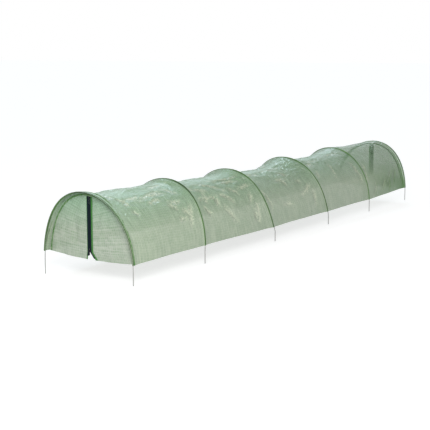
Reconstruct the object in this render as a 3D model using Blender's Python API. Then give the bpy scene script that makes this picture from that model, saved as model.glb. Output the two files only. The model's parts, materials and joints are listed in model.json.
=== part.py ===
"""Row cover tunnel: six sprung wire hoops under one film cover, with a zipped doorway in each end.

Metres, +Z up. The front end faces -Y. The wire tips stand on Z = 0.
"""

import math

import bmesh
import bpy
from mathutils import Matrix, Vector

MM = 0.001

# Whole tunnel
TUNNEL_WIDTH = 470 * MM
TUNNEL_HEIGHT = 470 * MM
TUNNEL_LENGTH = 2900 * MM
SOIL_LINE = 104 * MM  # the wire below it is pushed into the bed
HEM_ABOVE_SOIL = 85 * MM
ARCH_ABOVE_SOIL = 51 * MM  # where the upright legs start to bend over

# Wire hoops
WIRE_DIAMETER = 4 * MM
WIRE_SIDES = 8
ARCH_EXPONENT = 2.11  # 2 is an ellipse, more is squarer

# How the hoops stand, front to back: each is pushed in and sprung by hand
FOOT_DRIFT = 55 * MM
FOOT_DRIFT_SHARES = (0, -0.73, 0.55, 1, 0.42, 0)
CROWN_LEAN = 145 * MM
CROWN_LEAN_SHARES = (0, 0.15, -1, -0.69, -0.06, 0)
SIDE_LEAN = 40 * MM
SIDE_LEAN_SHARES = (-0.62, 0.1, 1, 0.12, -0.42, 0.28)

# Cover
FILM = 0.8 * MM
TAPE = 0.6 * MM
SEAT_GAP = 0.3 * MM
SLEEVE_HALF_WIDTH = 12 * MM
END_HEM = 6 * MM  # from an end hoop to the film's edge
BAY_SAG = 38 * MM
BAY_SAG_SHARES = (0.47, 0.74, 1, 0.68, 0.06)
BAY_FLATNESS = 4  # how soon a bay drops beside its hoops: 2 is a plain bow
HEM_SAG_SHARE = 0.15  # of the ridge's sag, down at the hem
BAY_STATION_SHARES = (0.12, 0.5, 0.88)
ARCH_FACETS = 20  # from hem to hem

# End panels
SEAM_SETBACK = 28 * MM  # from the end hoop's wire in to the panel
SEAM_DRAW = 9 * MM  # how far the panel's seam pulls the film in
PANEL_BOW = 6 * MM  # the panel's hem hangs lower in the middle
BINDING_WIDTH = 10 * MM
FOLD_TOP_DROP = 38 * MM  # from the seam down to the head of the flaps' folds
FOLD_FOOT_INSET = 40 * MM  # from the seam in to the fold, along the hem
FOLD_GAP = 0.6 * MM
FOLD_AXIS_PROUD = 1.3 * MM  # of the panel's middle plane
HEM_FACETS = 6

# Zip
ZIP_OFFSET = -12 * MM  # from the tunnel's middle to the zip, seen from outside
ZIP_HALF_OPENING = 6 * MM  # from the zip's line to the film's edge
SPLIT_HEIGHT = 33 * MM  # of the open V above the hem
LEFT_SPLIT = 5 * MM  # how far each side of the V is drawn aside at the hem
RIGHT_SPLIT = 25 * MM
LEFT_TAPE_END = 16 * MM  # above the hem
RIGHT_TAPE_END = 6 * MM
TAPE_HALF_WIDTH = 9 * MM
COIL_WIDTH = 2.4 * MM
COIL_HEIGHT = 2 * MM
HALF_SLIT = 0.8 * MM
LEFT_TRIM_WIDTH = 2.5 * MM
RIGHT_TRIM_WIDTH = 9 * MM
TRIM = 0.5 * MM

# Zip slider
SLIDER_WIDTH = 9 * MM
SLIDER_LENGTH = 11 * MM
NOSE_WIDTH = 6 * MM
SHOULDER_HEIGHT = 4 * MM  # of the slider's widest stretch
SLIDER_PLATE = 1.1 * MM
WEDGE_WIDTH = 1 * MM
WEDGE_LENGTH = 4.5 * MM
LOOP_WIDTH = 1.6 * MM
LOOP_BAR = 0.9 * MM
EYE = 2 * MM
EYE_RISE = 1.5 * MM  # above the slider's middle
JOIN = 0.2 * MM  # how far two shapes of one casting run into each other
STOP_HEIGHT = 2 * MM
STOP_CLEARANCE = 1 * MM

# Pull tab
PULL_LENGTH = 20 * MM
PULL_WIDTH = 6 * MM
PULL_THICKNESS = 0.8 * MM
PULL_BAR = 0.7 * MM
PULL_ARM = 1 * MM
WINDOW_WIDTH = 2.4 * MM
WINDOW_HEIGHT = 3.2 * MM

# Sizes that follow from those above
HOOPS = len(FOOT_DRIFT_SHARES)
WIRE_RADIUS = WIRE_DIAMETER / 2
FILM_INSIDE = WIRE_RADIUS + SEAT_GAP
FILM_OUTSIDE = FILM_INSIDE + FILM
HALF_SPAN = TUNNEL_WIDTH / 2 - FILM_OUTSIDE
CROWN = TUNNEL_HEIGHT - FILM_OUTSIDE
SPRINGING = SOIL_LINE + ARCH_ABOVE_SOIL
HEM = SOIL_LINE + HEM_ABOVE_SOIL
ARCH_POWER = 2 / ARCH_EXPONENT
HEM_ANGLE = math.asin(((HEM - SPRINGING) / (CROWN - SPRINGING)) ** (1 / ARCH_POWER))
FIRST_HOOP = -TUNNEL_LENGTH / 2 + END_HEM
HOOP_SPACING = -2 * FIRST_HOOP / (HOOPS - 1)
PANEL_EDGE = FILM_INSIDE - SEAM_DRAW - SEAT_GAP
PANEL_PLACE = -FIRST_HOOP - SEAM_SETBACK
PANEL_FACE = -FILM / 2
TRIM_BACK = PANEL_FACE - SEAT_GAP
TAPE_FRONT = FILM / 2 + SEAT_GAP
TAPE_MIDDLE = TAPE_FRONT + TAPE / 2
COIL_FRONT = TAPE_MIDDLE - COIL_HEIGHT / 2
COIL_BACK = TAPE_MIDDLE + COIL_HEIGHT / 2
PLATE_BACK = COIL_FRONT - SEAT_GAP
PLATE_FRONT = PLATE_BACK - SLIDER_PLATE
BACK_PLATE_FRONT = COIL_BACK + SEAT_GAP
SPLIT_FOOT = HEM - PANEL_BOW
SPLIT_TOP = SPLIT_FOOT + SPLIT_HEIGHT
SLIDER_REST = SPLIT_TOP + SLIDER_LENGTH / 2
PULL_AXIS_DEPTH = PLATE_FRONT - EYE / 2
PULL_AXIS_HEIGHT = SLIDER_REST + EYE_RISE
ARCH_SHARES = [step / ARCH_FACETS for step in range(ARCH_FACETS + 1)]
ENDS = {"front": 1, "back": -1}
SIDES = {"left": -1, "right": 1}
ALONG = Vector((0, 1, 0))


def clear_scene():
    for old in list(bpy.data.objects):
        bpy.data.objects.remove(old, do_unlink=True)


def material(name, colour, roughness, metallic=0.0):
    """A Principled material in one plain finish."""
    made = bpy.data.materials.new(name)
    made.use_nodes = True
    shader = made.node_tree.nodes["Principled BSDF"]
    shader.inputs["Base Color"].default_value = (*colour, 1)
    shader.inputs["Roughness"].default_value = roughness
    shader.inputs["Metallic"].default_value = metallic
    return made


def add_object(name, bm, finish):
    """Turns a mesh under construction into a named object, smooth except at real corners."""
    bmesh.ops.recalc_face_normals(bm, faces=bm.faces)
    mesh = bpy.data.meshes.new(name)
    bm.to_mesh(mesh)
    bm.free()
    mesh.shade_smooth()
    mesh.set_sharp_from_angle(angle=math.radians(30))
    mesh.materials.append(finish)
    made = bpy.data.objects.new(name, mesh)
    bpy.context.scene.collection.objects.link(made)
    return made


def add_joint(name, place):
    """An empty on a joint's axis, which the moving pieces hang on."""
    made = bpy.data.objects.new(name, None)
    made.location = place
    bpy.context.scene.collection.objects.link(made)
    return made


def hang(made, joint):
    """Parents a piece to its joint's empty without moving it."""
    made.parent = joint
    made.matrix_parent_inverse = Matrix.Translation(joint.location).inverted()


def union(pieces):
    """Joins overlapping pieces into the first and removes the others."""
    body = pieces[0]
    for other in pieces[1:]:
        join = body.modifiers.new("join", "BOOLEAN")
        join.operation = "UNION"
        join.solver = "EXACT"
        join.object = other
        with bpy.context.temp_override(object=body, active_object=body):
            bpy.ops.object.modifier_apply(modifier=join.name)
        bpy.data.objects.remove(other, do_unlink=True)
    return body


def closed_sheet(outer, inner):
    """A sheet with a thickness: two grids of points, row by row, joined round their rims."""
    bm = bmesh.new()
    top, under = ([[bm.verts.new(point) for point in row] for row in grid] for grid in (outer, inner))
    rows = range(len(top) - 1)
    columns = range(len(top[0]) - 1)
    for grid in (top, under):
        for r in rows:
            for c in columns:
                bm.faces.new((grid[r][c], grid[r][c + 1], grid[r + 1][c + 1], grid[r + 1][c]))
    for c in (0, -1):
        for r in rows:
            bm.faces.new((top[r][c], top[r + 1][c], under[r + 1][c], under[r][c]))
    for r in (0, -1):
        for c in columns:
            bm.faces.new((top[r][c], top[r][c + 1], under[r][c + 1], under[r][c]))
    return bm


def stacked_rings(rings):
    """A solid through rings of points that match one to one, closed by its first and last ring."""
    bm = bmesh.new()
    made = [[bm.verts.new(point) for point in ring] for ring in rings]
    for low, high in zip(made, made[1:]):
        for k in range(len(low)):
            bm.faces.new((low[k - 1], low[k], high[k], high[k - 1]))
    bm.faces.new(made[0])
    bm.faces.new(made[-1])
    return bm


# Hoops and the frame of directions that goes with them


def hoop_place(hoop):
    return FIRST_HOOP + HOOP_SPACING * hoop + FOOT_DRIFT * FOOT_DRIFT_SHARES[hoop]


def wire_point(hoop, angle):
    """Middle of a hoop's wire, at an angle round its arch from the left springing."""
    rise = math.sin(angle) ** ARCH_POWER
    reach = math.copysign(abs(math.cos(angle)) ** ARCH_POWER, math.cos(angle))
    x = -HALF_SPAN * reach + SIDE_LEAN * SIDE_LEAN_SHARES[hoop] * rise**2
    y = hoop_place(hoop) + CROWN_LEAN * CROWN_LEAN_SHARES[hoop] * rise
    return Vector((x, y, SPRINGING + (CROWN - SPRINGING) * rise))


def wire_frame(hoop, angle):
    """Directions across and out of the arch, both square to the wire."""
    step = min(angle, math.pi - angle, HEM_ANGLE) / 2
    run = (wire_point(hoop, angle + step) - wire_point(hoop, angle - step)).normalized()
    across = (ALONG - run * ALONG.dot(run)).normalized()
    return across, run.cross(across)


def arch_angle(share):
    """Angle at a share of the way from the left hem over to the right hem."""
    return HEM_ANGLE + (math.pi - 2 * HEM_ANGLE) * share


def beside_wire(hoop, share, along, out):
    """A point near a hoop's wire: so far along the tunnel and so far out from the wire's middle."""
    angle = arch_angle(share)
    return wire_point(hoop, angle) + ALONG * along + wire_frame(hoop, angle)[1] * out


def leg(hoop, side):
    """The upright leg's two ends, each with its directions across and out."""
    heights = (0, SPRINGING)
    return [
        (Vector((side * HALF_SPAN, hoop_place(hoop), z)), ALONG, Vector((side, 0, 0)))
        for z in heights
    ]


def build_hoop(hoop, finish):
    """One length of wire, cut square at both tips."""
    angles = [HEM_ANGLE / 2, *(arch_angle(share) for share in ARCH_SHARES), math.pi - HEM_ANGLE / 2]
    arch = [(wire_point(hoop, angle), *wire_frame(hoop, angle)) for angle in angles]
    turns = [2 * math.pi * k / WIRE_SIDES for k in range(WIRE_SIDES)]
    rings = [
        [middle + (across * math.cos(turn) + outward * math.sin(turn)) * WIRE_RADIUS for turn in turns]
        for middle, across, outward in leg(hoop, -1) + arch + leg(hoop, 1)[::-1]
    ]
    add_object(f"hoop_{hoop + 1}", stacked_rings(rings), finish)


def build_sleeve(hoop, finish):
    """A tape sewn to the film on both sides of the wire, so the wire runs in a channel."""
    front = END_HEM - SEAT_GAP if hoop == 0 else SLEEVE_HALF_WIDTH
    back = END_HEM - SEAT_GAP if hoop == HOOPS - 1 else SLEEVE_HALF_WIDTH
    seat = FILM_INSIDE - SEAT_GAP
    shoulder = FILM_INSIDE + 2 * TAPE
    profile = (
        (-front, seat, 0),
        (-shoulder, seat, -TAPE),
        (-FILM_INSIDE, -FILM_INSIDE, -TAPE),
        (FILM_INSIDE, -FILM_INSIDE, TAPE),
        (shoulder, seat, TAPE),
        (back, seat, 0),
    )
    upper = [[beside_wire(hoop, share, along, out) for share in ARCH_SHARES] for along, out, _ in profile]
    lower = [
        [beside_wire(hoop, share, along + widen, out - TAPE) for share in ARCH_SHARES]
        for along, out, widen in profile
    ]
    add_object(f"hoop_sleeve_{hoop + 1}", closed_sheet(upper, lower), finish)


# Cover


def seam_row(hoop, share, out):
    """The film where an end panel is sewn to it."""
    inward = SEAM_SETBACK if hoop == 0 else -SEAM_SETBACK
    return beside_wire(hoop, share, inward, out - SEAM_DRAW)


def hoop_row(hoop, share, side, out):
    """The film beside a hoop, where its sleeve ends."""
    outermost = (hoop, side) in ((0, -1), (HOOPS - 1, 1))
    return beside_wire(hoop, share, side * (END_HEM if outermost else SLEEVE_HALF_WIDTH), out)


def bay_edges(bay, share, out):
    """The film's two fixed points at the start and the end of a bay."""
    start = seam_row(bay, share, out) if bay == 0 else hoop_row(bay, share, 1, out)
    end = seam_row(bay + 1, share, out) if bay == HOOPS - 2 else hoop_row(bay + 1, share, -1, out)
    return start, end


def hanging_row(bay, place_share, share, out):
    """The film between two hoops, which sags most at the ridge and midway along the bay."""
    start, end = bay_edges(bay, share, 0)
    start_out, end_out = bay_edges(bay, share, FILM)
    outward = (start_out - start).lerp(end_out - end, place_share).normalized()
    ridge_share = HEM_SAG_SHARE + (1 - HEM_SAG_SHARE) * math.sin(math.pi * share) ** 2
    drop_share = 1 - abs(2 * place_share - 1) ** BAY_FLATNESS
    sag = BAY_SAG * BAY_SAG_SHARES[bay] * drop_share * ridge_share
    return start.lerp(end, place_share) + outward * (out - sag)


def film_rows(out):
    """One face of the cover, row by row along the tunnel, so far out from the wires' middles."""
    rows = []
    for hoop in range(HOOPS):
        edges = [[hoop_row(hoop, share, side, out) for share in ARCH_SHARES] for side in (-1, 1)]
        seam = [seam_row(hoop, share, out) for share in ARCH_SHARES]
        if hoop == 0:
            rows += [*edges, seam]
        elif hoop == HOOPS - 1:
            rows += [seam, *edges]
        else:
            rows += edges
        if hoop < HOOPS - 1:
            for place_share in BAY_STATION_SHARES:
                rows.append([hanging_row(hoop, place_share, share, out) for share in ARCH_SHARES])
    return rows


# End panels, drawn as seen from outside: u to the right, e into the tunnel, z up


def in_place(end, u, e, z):
    turn = ENDS[end]
    return Vector((turn * u, turn * (e - PANEL_PLACE), z))


def end_hoop(end):
    return 0 if end == "front" else HOOPS - 1


def panel_arch(end):
    """The panel's arched edge as (u, z) points, from its left hem to its right."""
    points = [beside_wire(end_hoop(end), share, 0, PANEL_EDGE) for share in ARCH_SHARES]
    return sorted((ENDS[end] * point.x, point.z) for point in points)


def arch_height(arch, u):
    """Height of the panel's arched edge at u."""
    for (u0, z0), (u1, z1) in zip(arch, arch[1:]):
        if u0 <= u <= u1:
            return z0 + (z1 - z0) * (u - u0) / (u1 - u0)
    raise ValueError("outside the panel")


def hem_height(arch, u):
    """The panel's hem hangs in a shallow bow between its two feet."""
    half = (arch[-1][0] - arch[0][0]) / 2
    middle = (arch[-1][0] + arch[0][0]) / 2
    return HEM - PANEL_BOW * (1 - ((u - middle) / half) ** 2)


class Fold:
    """The straight line a flap folds on, from beside the zip's head down to the hem."""

    def __init__(self, end, side):
        self.arch = panel_arch(end)
        hand = SIDES[side]
        foot_u = self.arch[0 if side == "left" else -1][0] - hand * FOLD_FOOT_INSET
        top_u = ZIP_OFFSET + hand * ZIP_HALF_OPENING
        self.foot = Vector((foot_u, hem_height(self.arch, foot_u)))
        self.top = Vector((top_u, arch_height(self.arch, top_u) - FOLD_TOP_DROP))
        self.run = (self.top - self.foot).normalized()
        self.to_zip = Vector((self.run.y, -self.run.x)) * -hand

    def height(self, u, offset):
        """Height at u of the line that runs offset from the fold towards the zip."""
        start = self.foot + self.to_zip * offset
        return start.y + self.run.y * (u - start.x) / self.run.x

    def hem_crossing(self, offset):
        """Where that line meets the hem."""
        start = self.foot + self.to_zip * offset
        level = hem_height(self.arch, start.x)
        return start.x + (level - start.y) * self.run.x / self.run.y, level


def split_of(side):
    return -LEFT_SPLIT if side == "left" else RIGHT_SPLIT


def split_shift(side, z):
    """How far the open V has drawn this side of the zip aside at a height."""
    return split_of(side) * (SPLIT_TOP - z) / SPLIT_HEIGHT


def plate(end, outline, near, far):
    """A flat piece facing the end: its outline in (u, z) between two depths."""
    return stacked_rings([[in_place(end, u, e, z) for u, z in outline] for e in (near, far)])


def side_plate(end, outline, near, far):
    """A flat piece square to the end: its outline in (e, z) between two values of u."""
    return stacked_rings([[in_place(end, u, e, z) for e, z in outline] for u in (near, far)])


def strip(end, profile, path, cut=None):
    """A profile of (u, e) points run along a path of (u, z) points, its first end cut on the bevel."""
    rings = []
    for step, (shift, z) in enumerate(path):
        heights = [cut(u + shift) if cut and step == 0 else z for u, _ in profile]
        rings.append([in_place(end, u + shift, e, h) for (u, e), h in zip(profile, heights)])
    return stacked_rings(rings)


def build_cheek(end, side, film):
    """The part of the panel that stays put, between the arched seam and the fold."""
    fold = Fold(end, side)
    hand = SIDES[side]
    zip_u = ZIP_OFFSET + hand * ZIP_HALF_OPENING
    points = [point for point in fold.arch if hand * (point[0] - zip_u) > 0]
    if side == "right":
        points.reverse()
    clear = -FOLD_GAP / 2
    outline = points + [
        (zip_u, arch_height(fold.arch, zip_u)),
        (zip_u, fold.height(zip_u, clear)),
        fold.hem_crossing(clear),
    ]
    add_object(f"{end}_{side}_cheek", plate(end, outline, PANEL_FACE, -PANEL_FACE), film)


def build_flap(end, side, film, hinge):
    """The door flap, between the fold and the zip."""
    fold = Fold(end, side)
    zip_u = ZIP_OFFSET + SIDES[side] * ZIP_HALF_OPENING
    clear = FOLD_GAP / 2
    foot = fold.hem_crossing(clear)
    corner_u = zip_u + split_of(side)
    hem_us = [corner_u + (foot[0] - corner_u) * step / HEM_FACETS for step in range(HEM_FACETS)]
    hem = [(u, hem_height(fold.arch, u)) for u in hem_us]
    outline = [(zip_u, fold.height(zip_u, clear)), (zip_u, SPLIT_TOP), *hem, foot]
    hang(add_object(f"{end}_{side}_flap", plate(end, outline, PANEL_FACE, -PANEL_FACE), film), hinge)


def build_binding(end, tape):
    """The bright tape along the arched seam, on the panel's outer face."""
    faces = []
    for e in (TRIM_BACK - TAPE, TRIM_BACK):
        along = ENDS[end] * (SEAM_SETBACK + e)
        outs = (PANEL_EDGE, PANEL_EDGE - BINDING_WIDTH)
        faces.append([[beside_wire(end_hoop(end), s, along, out) for s in ARCH_SHARES] for out in outs])
    add_object(f"{end}_seam_binding", closed_sheet(*faces), tape)


def half_zip_profile(side):
    """The tape of one half of the zip, with its row of coils."""
    hand = SIDES[side]
    slit = hand * HALF_SLIT
    coil = hand * (HALF_SLIT + COIL_WIDTH)
    edge = hand * TAPE_HALF_WIDTH
    return (
        (slit, COIL_FRONT),
        (coil, COIL_FRONT),
        (coil, TAPE_FRONT),
        (edge, TAPE_FRONT),
        (edge, TAPE_FRONT + TAPE),
        (coil, TAPE_FRONT + TAPE),
        (coil, COIL_BACK),
        (slit, COIL_BACK),
    )


def trim_profile(side):
    """The green strip beside the zip, wider on its right."""
    inner = SIDES[side] * ZIP_HALF_OPENING
    outer = inner + (-LEFT_TRIM_WIDTH if side == "left" else RIGHT_TRIM_WIDTH)
    return ((inner, TRIM_BACK - TRIM), (outer, TRIM_BACK - TRIM), (outer, TRIM_BACK), (inner, TRIM_BACK))


def build_half_zip(end, side, fabric, trim, hinge):
    """Half the zip: its head stays with the cheek, and the rest goes with the flap."""
    fold = Fold(end, side)
    band = trim_profile(side)
    coils = half_zip_profile(side)
    arch_top = min(arch_height(fold.arch, ZIP_OFFSET + u) for u in (0, band[1][0]))
    head_top = arch_top - BINDING_WIDTH - SEAT_GAP
    head = ((ZIP_OFFSET, fold.top.y), (ZIP_OFFSET, head_top))
    tape_end = SPLIT_FOOT + (LEFT_TAPE_END if side == "left" else RIGHT_TAPE_END)
    trim_end = hem_height(fold.arch, ZIP_OFFSET + split_of(side)) + SEAT_GAP
    name = f"{end}_{side}"

    def above(u):
        return fold.height(u, -FOLD_GAP / 2)

    def below(u):
        return fold.height(u, FOLD_GAP / 2)

    add_object(f"{name}_zip_head", strip(end, coils, head, above), fabric)
    add_object(f"{name}_head_trim", strip(end, band, head, above), trim)
    for part, profile, foot, finish in (("zip", coils, tape_end, fabric), ("trim", band, trim_end, trim)):
        path = ((ZIP_OFFSET, fold.top.y), (ZIP_OFFSET, SPLIT_TOP), (ZIP_OFFSET + split_shift(side, foot), foot))
        hang(add_object(f"{name}_{part}", strip(end, profile, path, below), finish), hinge)


def build_top_stop(end, metal):
    """The bar that stops the slider above the folds."""
    fold_top = max(Fold(end, side).height(ZIP_OFFSET, 0) for side in SIDES)
    low = fold_top + STOP_CLEARANCE + SLIDER_LENGTH + STOP_CLEARANCE
    left = ZIP_OFFSET - NOSE_WIDTH / 2
    right = ZIP_OFFSET + NOSE_WIDTH / 2
    outline = ((left, low), (right, low), (right, low + STOP_HEIGHT), (left, low + STOP_HEIGHT))
    add_object(f"{end}_zip_top_stop", plate(end, outline, PLATE_FRONT, PLATE_BACK), metal)


def build_slider(end, metal, slide):
    """Two plates either side of the coils, held apart by a wedge, with a loop for the pull."""
    nose = NOSE_WIDTH / 2
    wide = SLIDER_WIDTH / 2
    tip = SLIDER_LENGTH / 2
    turn = SHOULDER_HEIGHT / 2
    corners = ((nose, -tip), (wide, -turn), (wide, turn), (nose, tip))
    right = [(ZIP_OFFSET + du, SLIDER_REST + dz) for du, dz in corners]
    left = [(ZIP_OFFSET - du, SLIDER_REST + dz) for du, dz in reversed(corners)]
    wedge_low = SLIDER_REST - tip + JOIN
    wedge_top = wedge_low + WEDGE_LENGTH
    wedge_near = PLATE_BACK - JOIN
    wedge_far = BACK_PLATE_FRONT + JOIN
    wedge = ((wedge_near, wedge_low), (wedge_far, wedge_low), (wedge_far, wedge_top), (wedge_near, wedge_top))
    root = PLATE_FRONT + JOIN
    reach = PLATE_FRONT - EYE
    loop = (
        (root, PULL_AXIS_HEIGHT - EYE / 2 - LOOP_BAR),
        (reach - LOOP_BAR, PULL_AXIS_HEIGHT - EYE / 2 - LOOP_BAR),
        (reach - LOOP_BAR, PULL_AXIS_HEIGHT + EYE / 2 + LOOP_BAR),
        (root, PULL_AXIS_HEIGHT + EYE / 2 + LOOP_BAR),
        (root, PULL_AXIS_HEIGHT + EYE / 2),
        (reach, PULL_AXIS_HEIGHT + EYE / 2),
        (reach, PULL_AXIS_HEIGHT - EYE / 2),
        (root, PULL_AXIS_HEIGHT - EYE / 2),
    )
    half_wedge = WEDGE_WIDTH / 2
    half_loop = LOOP_WIDTH / 2
    shapes = (
        plate(end, right + left, PLATE_FRONT, PLATE_BACK),
        plate(end, right + left, BACK_PLATE_FRONT, BACK_PLATE_FRONT + SLIDER_PLATE),
        side_plate(end, wedge, ZIP_OFFSET - half_wedge, ZIP_OFFSET + half_wedge),
        side_plate(end, loop, ZIP_OFFSET - half_loop, ZIP_OFFSET + half_loop),
    )
    body, back, wedge_piece, loop_piece = (add_object(f"{end}_zip_slider", bm, metal) for bm in shapes)
    hang(union([body, wedge_piece, back, loop_piece]), slide)


def build_pull(end, metal, pivot):
    """The pull tab: a plate with a window, whose top bar turns in the slider's loop."""
    window = WINDOW_WIDTH / 2
    arm = window + PULL_ARM
    half = PULL_WIDTH / 2
    top = PULL_AXIS_HEIGHT + PULL_BAR / 2
    window_top = PULL_AXIS_HEIGHT - PULL_BAR / 2
    window_low = window_top - WINDOW_HEIGHT
    shoulder = window_low - PULL_ARM
    foot = PULL_AXIS_HEIGHT - PULL_LENGTH
    rim = ((-arm, top), (arm, top), (arm, window_low), (half, shoulder))
    rim += ((half, foot), (-half, foot), (-half, shoulder), (-arm, window_low))
    hole = ((-window, window_top), (window, window_top), (window, window_low), (-window, window_low))
    bm = bmesh.new()
    layers = []
    for e in (PULL_AXIS_DEPTH - PULL_THICKNESS / 2, PULL_AXIS_DEPTH + PULL_THICKNESS / 2):
        rings = [[bm.verts.new(in_place(end, ZIP_OFFSET + u, e, z)) for u, z in ring] for ring in (rim, hole)]
        layers.append(rings)
        outer, eye = rings
        bm.faces.new((outer[0], outer[1], eye[1], eye[0]))
        bm.faces.new((outer[1], outer[2], eye[2], eye[1]))
        bm.faces.new((outer[7], outer[0], eye[0], eye[3]))
        bm.faces.new((*outer[2:], eye[3], eye[2]))
    for near, far in zip(*layers):
        for k in range(len(near)):
            bm.faces.new((near[k - 1], near[k], far[k], far[k - 1]))
    hang(add_object(f"{end}_zip_pull", bm, metal), pivot)


def build_end(end, film, binding, fabric, metal):
    build_binding(end, binding)
    for side in SIDES:
        fold = Fold(end, side)
        middle = (fold.foot + fold.top) / 2
        hinge = add_joint(f"{end}_{side}_fold", in_place(end, middle.x, -FOLD_AXIS_PROUD, middle.y))
        build_cheek(end, side, film)
        build_flap(end, side, film, hinge)
        build_half_zip(end, side, fabric, binding, hinge)
    build_top_stop(end, metal)
    build_slider(end, metal, add_joint(f"{end}_slide", in_place(end, ZIP_OFFSET, TAPE_MIDDLE, SLIDER_REST)))
    pivot = in_place(end, ZIP_OFFSET, PULL_AXIS_DEPTH, PULL_AXIS_HEIGHT)
    build_pull(end, metal, add_joint(f"{end}_pull_pivot", pivot))


def main():
    clear_scene()
    film = material("sage_film", (0.36, 0.47, 0.35), 0.3)
    binding = material("green_tape", (0.09, 0.25, 0.07), 0.7)
    fabric = material("navy_zip", (0.01, 0.015, 0.025), 0.7)
    wire = material("coated_wire", (0.5, 0.52, 0.5), 0.45, 0.6)
    metal = material("slider_metal", (0.03, 0.03, 0.035), 0.4, 0.9)
    for hoop in range(HOOPS):
        build_hoop(hoop, wire)
        build_sleeve(hoop, binding)
    add_object("roof_film", closed_sheet(film_rows(FILM_OUTSIDE), film_rows(FILM_INSIDE)), film)
    for end in ENDS:
        build_end(end, film, binding, fabric, metal)


main()
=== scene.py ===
# %% [markdown]
# # Row cover tunnel
# A row cover tunnel shelters a row of young plants. Six wire hoops are pushed into the soil, and
# one long green film cover hangs over them. A film panel with a zip closes each end. A grid of
# threads is laid into the film, which sags between the hoops and keeps the creases of its packing.
#
# This lesson dresses a plain model of the tunnel. The finishes come first, then the film, the
# hoops and the ends, and last the floor, the lights and the camera.

# %% Load the plain model
import json
import math

import bmesh
import bpy
import numpy as np
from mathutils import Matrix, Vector

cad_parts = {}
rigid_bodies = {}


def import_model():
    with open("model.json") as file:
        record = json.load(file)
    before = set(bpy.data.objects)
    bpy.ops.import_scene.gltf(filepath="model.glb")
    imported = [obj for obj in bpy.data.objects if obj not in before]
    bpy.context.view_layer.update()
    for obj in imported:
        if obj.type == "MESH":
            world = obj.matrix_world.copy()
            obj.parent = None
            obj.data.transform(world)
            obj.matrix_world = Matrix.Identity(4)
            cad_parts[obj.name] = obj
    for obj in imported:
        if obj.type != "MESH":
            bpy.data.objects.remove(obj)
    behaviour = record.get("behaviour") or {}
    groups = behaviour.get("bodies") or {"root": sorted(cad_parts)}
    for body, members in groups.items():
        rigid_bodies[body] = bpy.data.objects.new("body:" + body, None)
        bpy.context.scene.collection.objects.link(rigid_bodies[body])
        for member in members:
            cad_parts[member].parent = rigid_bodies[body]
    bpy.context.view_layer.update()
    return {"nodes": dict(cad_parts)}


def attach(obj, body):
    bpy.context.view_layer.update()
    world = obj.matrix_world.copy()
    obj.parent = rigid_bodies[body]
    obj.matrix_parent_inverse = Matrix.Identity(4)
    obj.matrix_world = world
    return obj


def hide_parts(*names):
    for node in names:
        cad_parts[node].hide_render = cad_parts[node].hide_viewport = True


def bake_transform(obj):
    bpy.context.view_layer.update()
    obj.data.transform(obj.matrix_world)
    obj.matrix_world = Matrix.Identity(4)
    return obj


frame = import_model()

# %% [markdown]
# ## Sizes of the arch
# A hoop is one length of spring wire. Its legs stand upright in the soil, and the wire above them
# bends to a squarish arch. All sizes are real ones in metres, as Blender counts them, so each
# piece lands on the plain model without any fitting. The hem of the film hangs above the soil.

# %% Sizes of the arch
MM = 0.001
WIDTH = 470 * MM
HEIGHT = 470 * MM
LENGTH = 2900 * MM
SOIL_LINE = 104 * MM
HEM = SOIL_LINE + 85 * MM
SPRINGING = SOIL_LINE + 51 * MM
WIRE_RADIUS = 2 * MM
FILM_OUT = 3.1 * MM
HALF_SPAN = WIDTH / 2 - FILM_OUT
CROWN = HEIGHT - FILM_OUT
POWER = 2 / 2.11
HEM_ANGLE = math.asin(((HEM - SPRINGING) / (CROWN - SPRINGING)) ** (1 / POWER))
print("arch", round(2 * HALF_SPAN, 4), "wide, crown at", round(CROWN, 4), "hem at", round(HEM, 4))

# %% [markdown]
# ## Places and leans of the hoops
# Hoops pushed in by hand never stand quite alike: some feet stand nearer the next hoop, and some
# crowns lean along the tunnel or to one side. One random number per hoop would do, but these are
# read off the photo, because the waves in the outline of the roof come from them.

# %% Places and leans of the hoops
HOOPS = 6
END_HEM = 6 * MM
FIRST_HOOP = -LENGTH / 2 + END_HEM
SPACING = -2 * FIRST_HOOP / (HOOPS - 1)
FOOT_DRIFTS = 55 * MM * np.array((0, -0.73, 0.55, 1, 0.42, 0))
CROWN_LEANS = 145 * MM * np.array((0, 0.15, -1, -0.69, -0.06, 0))
SIDE_LEANS = 40 * MM * np.array((-0.62, 0.1, 1, 0.12, -0.42, 0.28))


def hoop_place(hoop):
    return FIRST_HOOP + SPACING * hoop + FOOT_DRIFTS[hoop]


def wire(hoop, angle):
    """Points on the middle of a hoop's wire, for an array of angles round the arch."""
    rise = np.sin(angle) ** POWER
    reach = np.sign(np.cos(angle)) * np.abs(np.cos(angle)) ** POWER
    x = -HALF_SPAN * reach + SIDE_LEANS[hoop] * rise**2
    y = hoop_place(hoop) + CROWN_LEANS[hoop] * rise
    return np.stack([x, y, SPRINGING + (CROWN - SPRINGING) * rise], axis=-1)


print("hoops at", [round(float(hoop_place(hoop)), 3) for hoop in range(HOOPS)])

# %% [markdown]
# ## Points beside a wire
# The film, its casings, the stitches and the seams all follow a hoop. So one function gives a
# point beside the wire: how far round the arch it is, how far along the tunnel, and how far out
# from the wire. The film hangs lower at some feet than at others, and its hem droops there.

# %% Points beside a wire
LEFT_DROOPS = MM * np.array((-14, -3, 4, 6, 6, 2))
RIGHT_DROOPS = MM * np.array((1, 3, 12, 13, 14, 5))
DROOP_POWER = 7  # keeps the droop near the hems


def unit(v):
    return v / np.linalg.norm(v, axis=-1, keepdims=True)


def outward(hoop, angle):
    """The direction away from the arch, square to the wire."""
    step = np.minimum(np.minimum(angle, math.pi - angle), HEM_ANGLE) / 2
    run = unit(wire(hoop, angle + step) - wire(hoop, angle - step))
    return unit(np.cross(run, np.array((0.0, 1.0, 0.0))))


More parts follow.
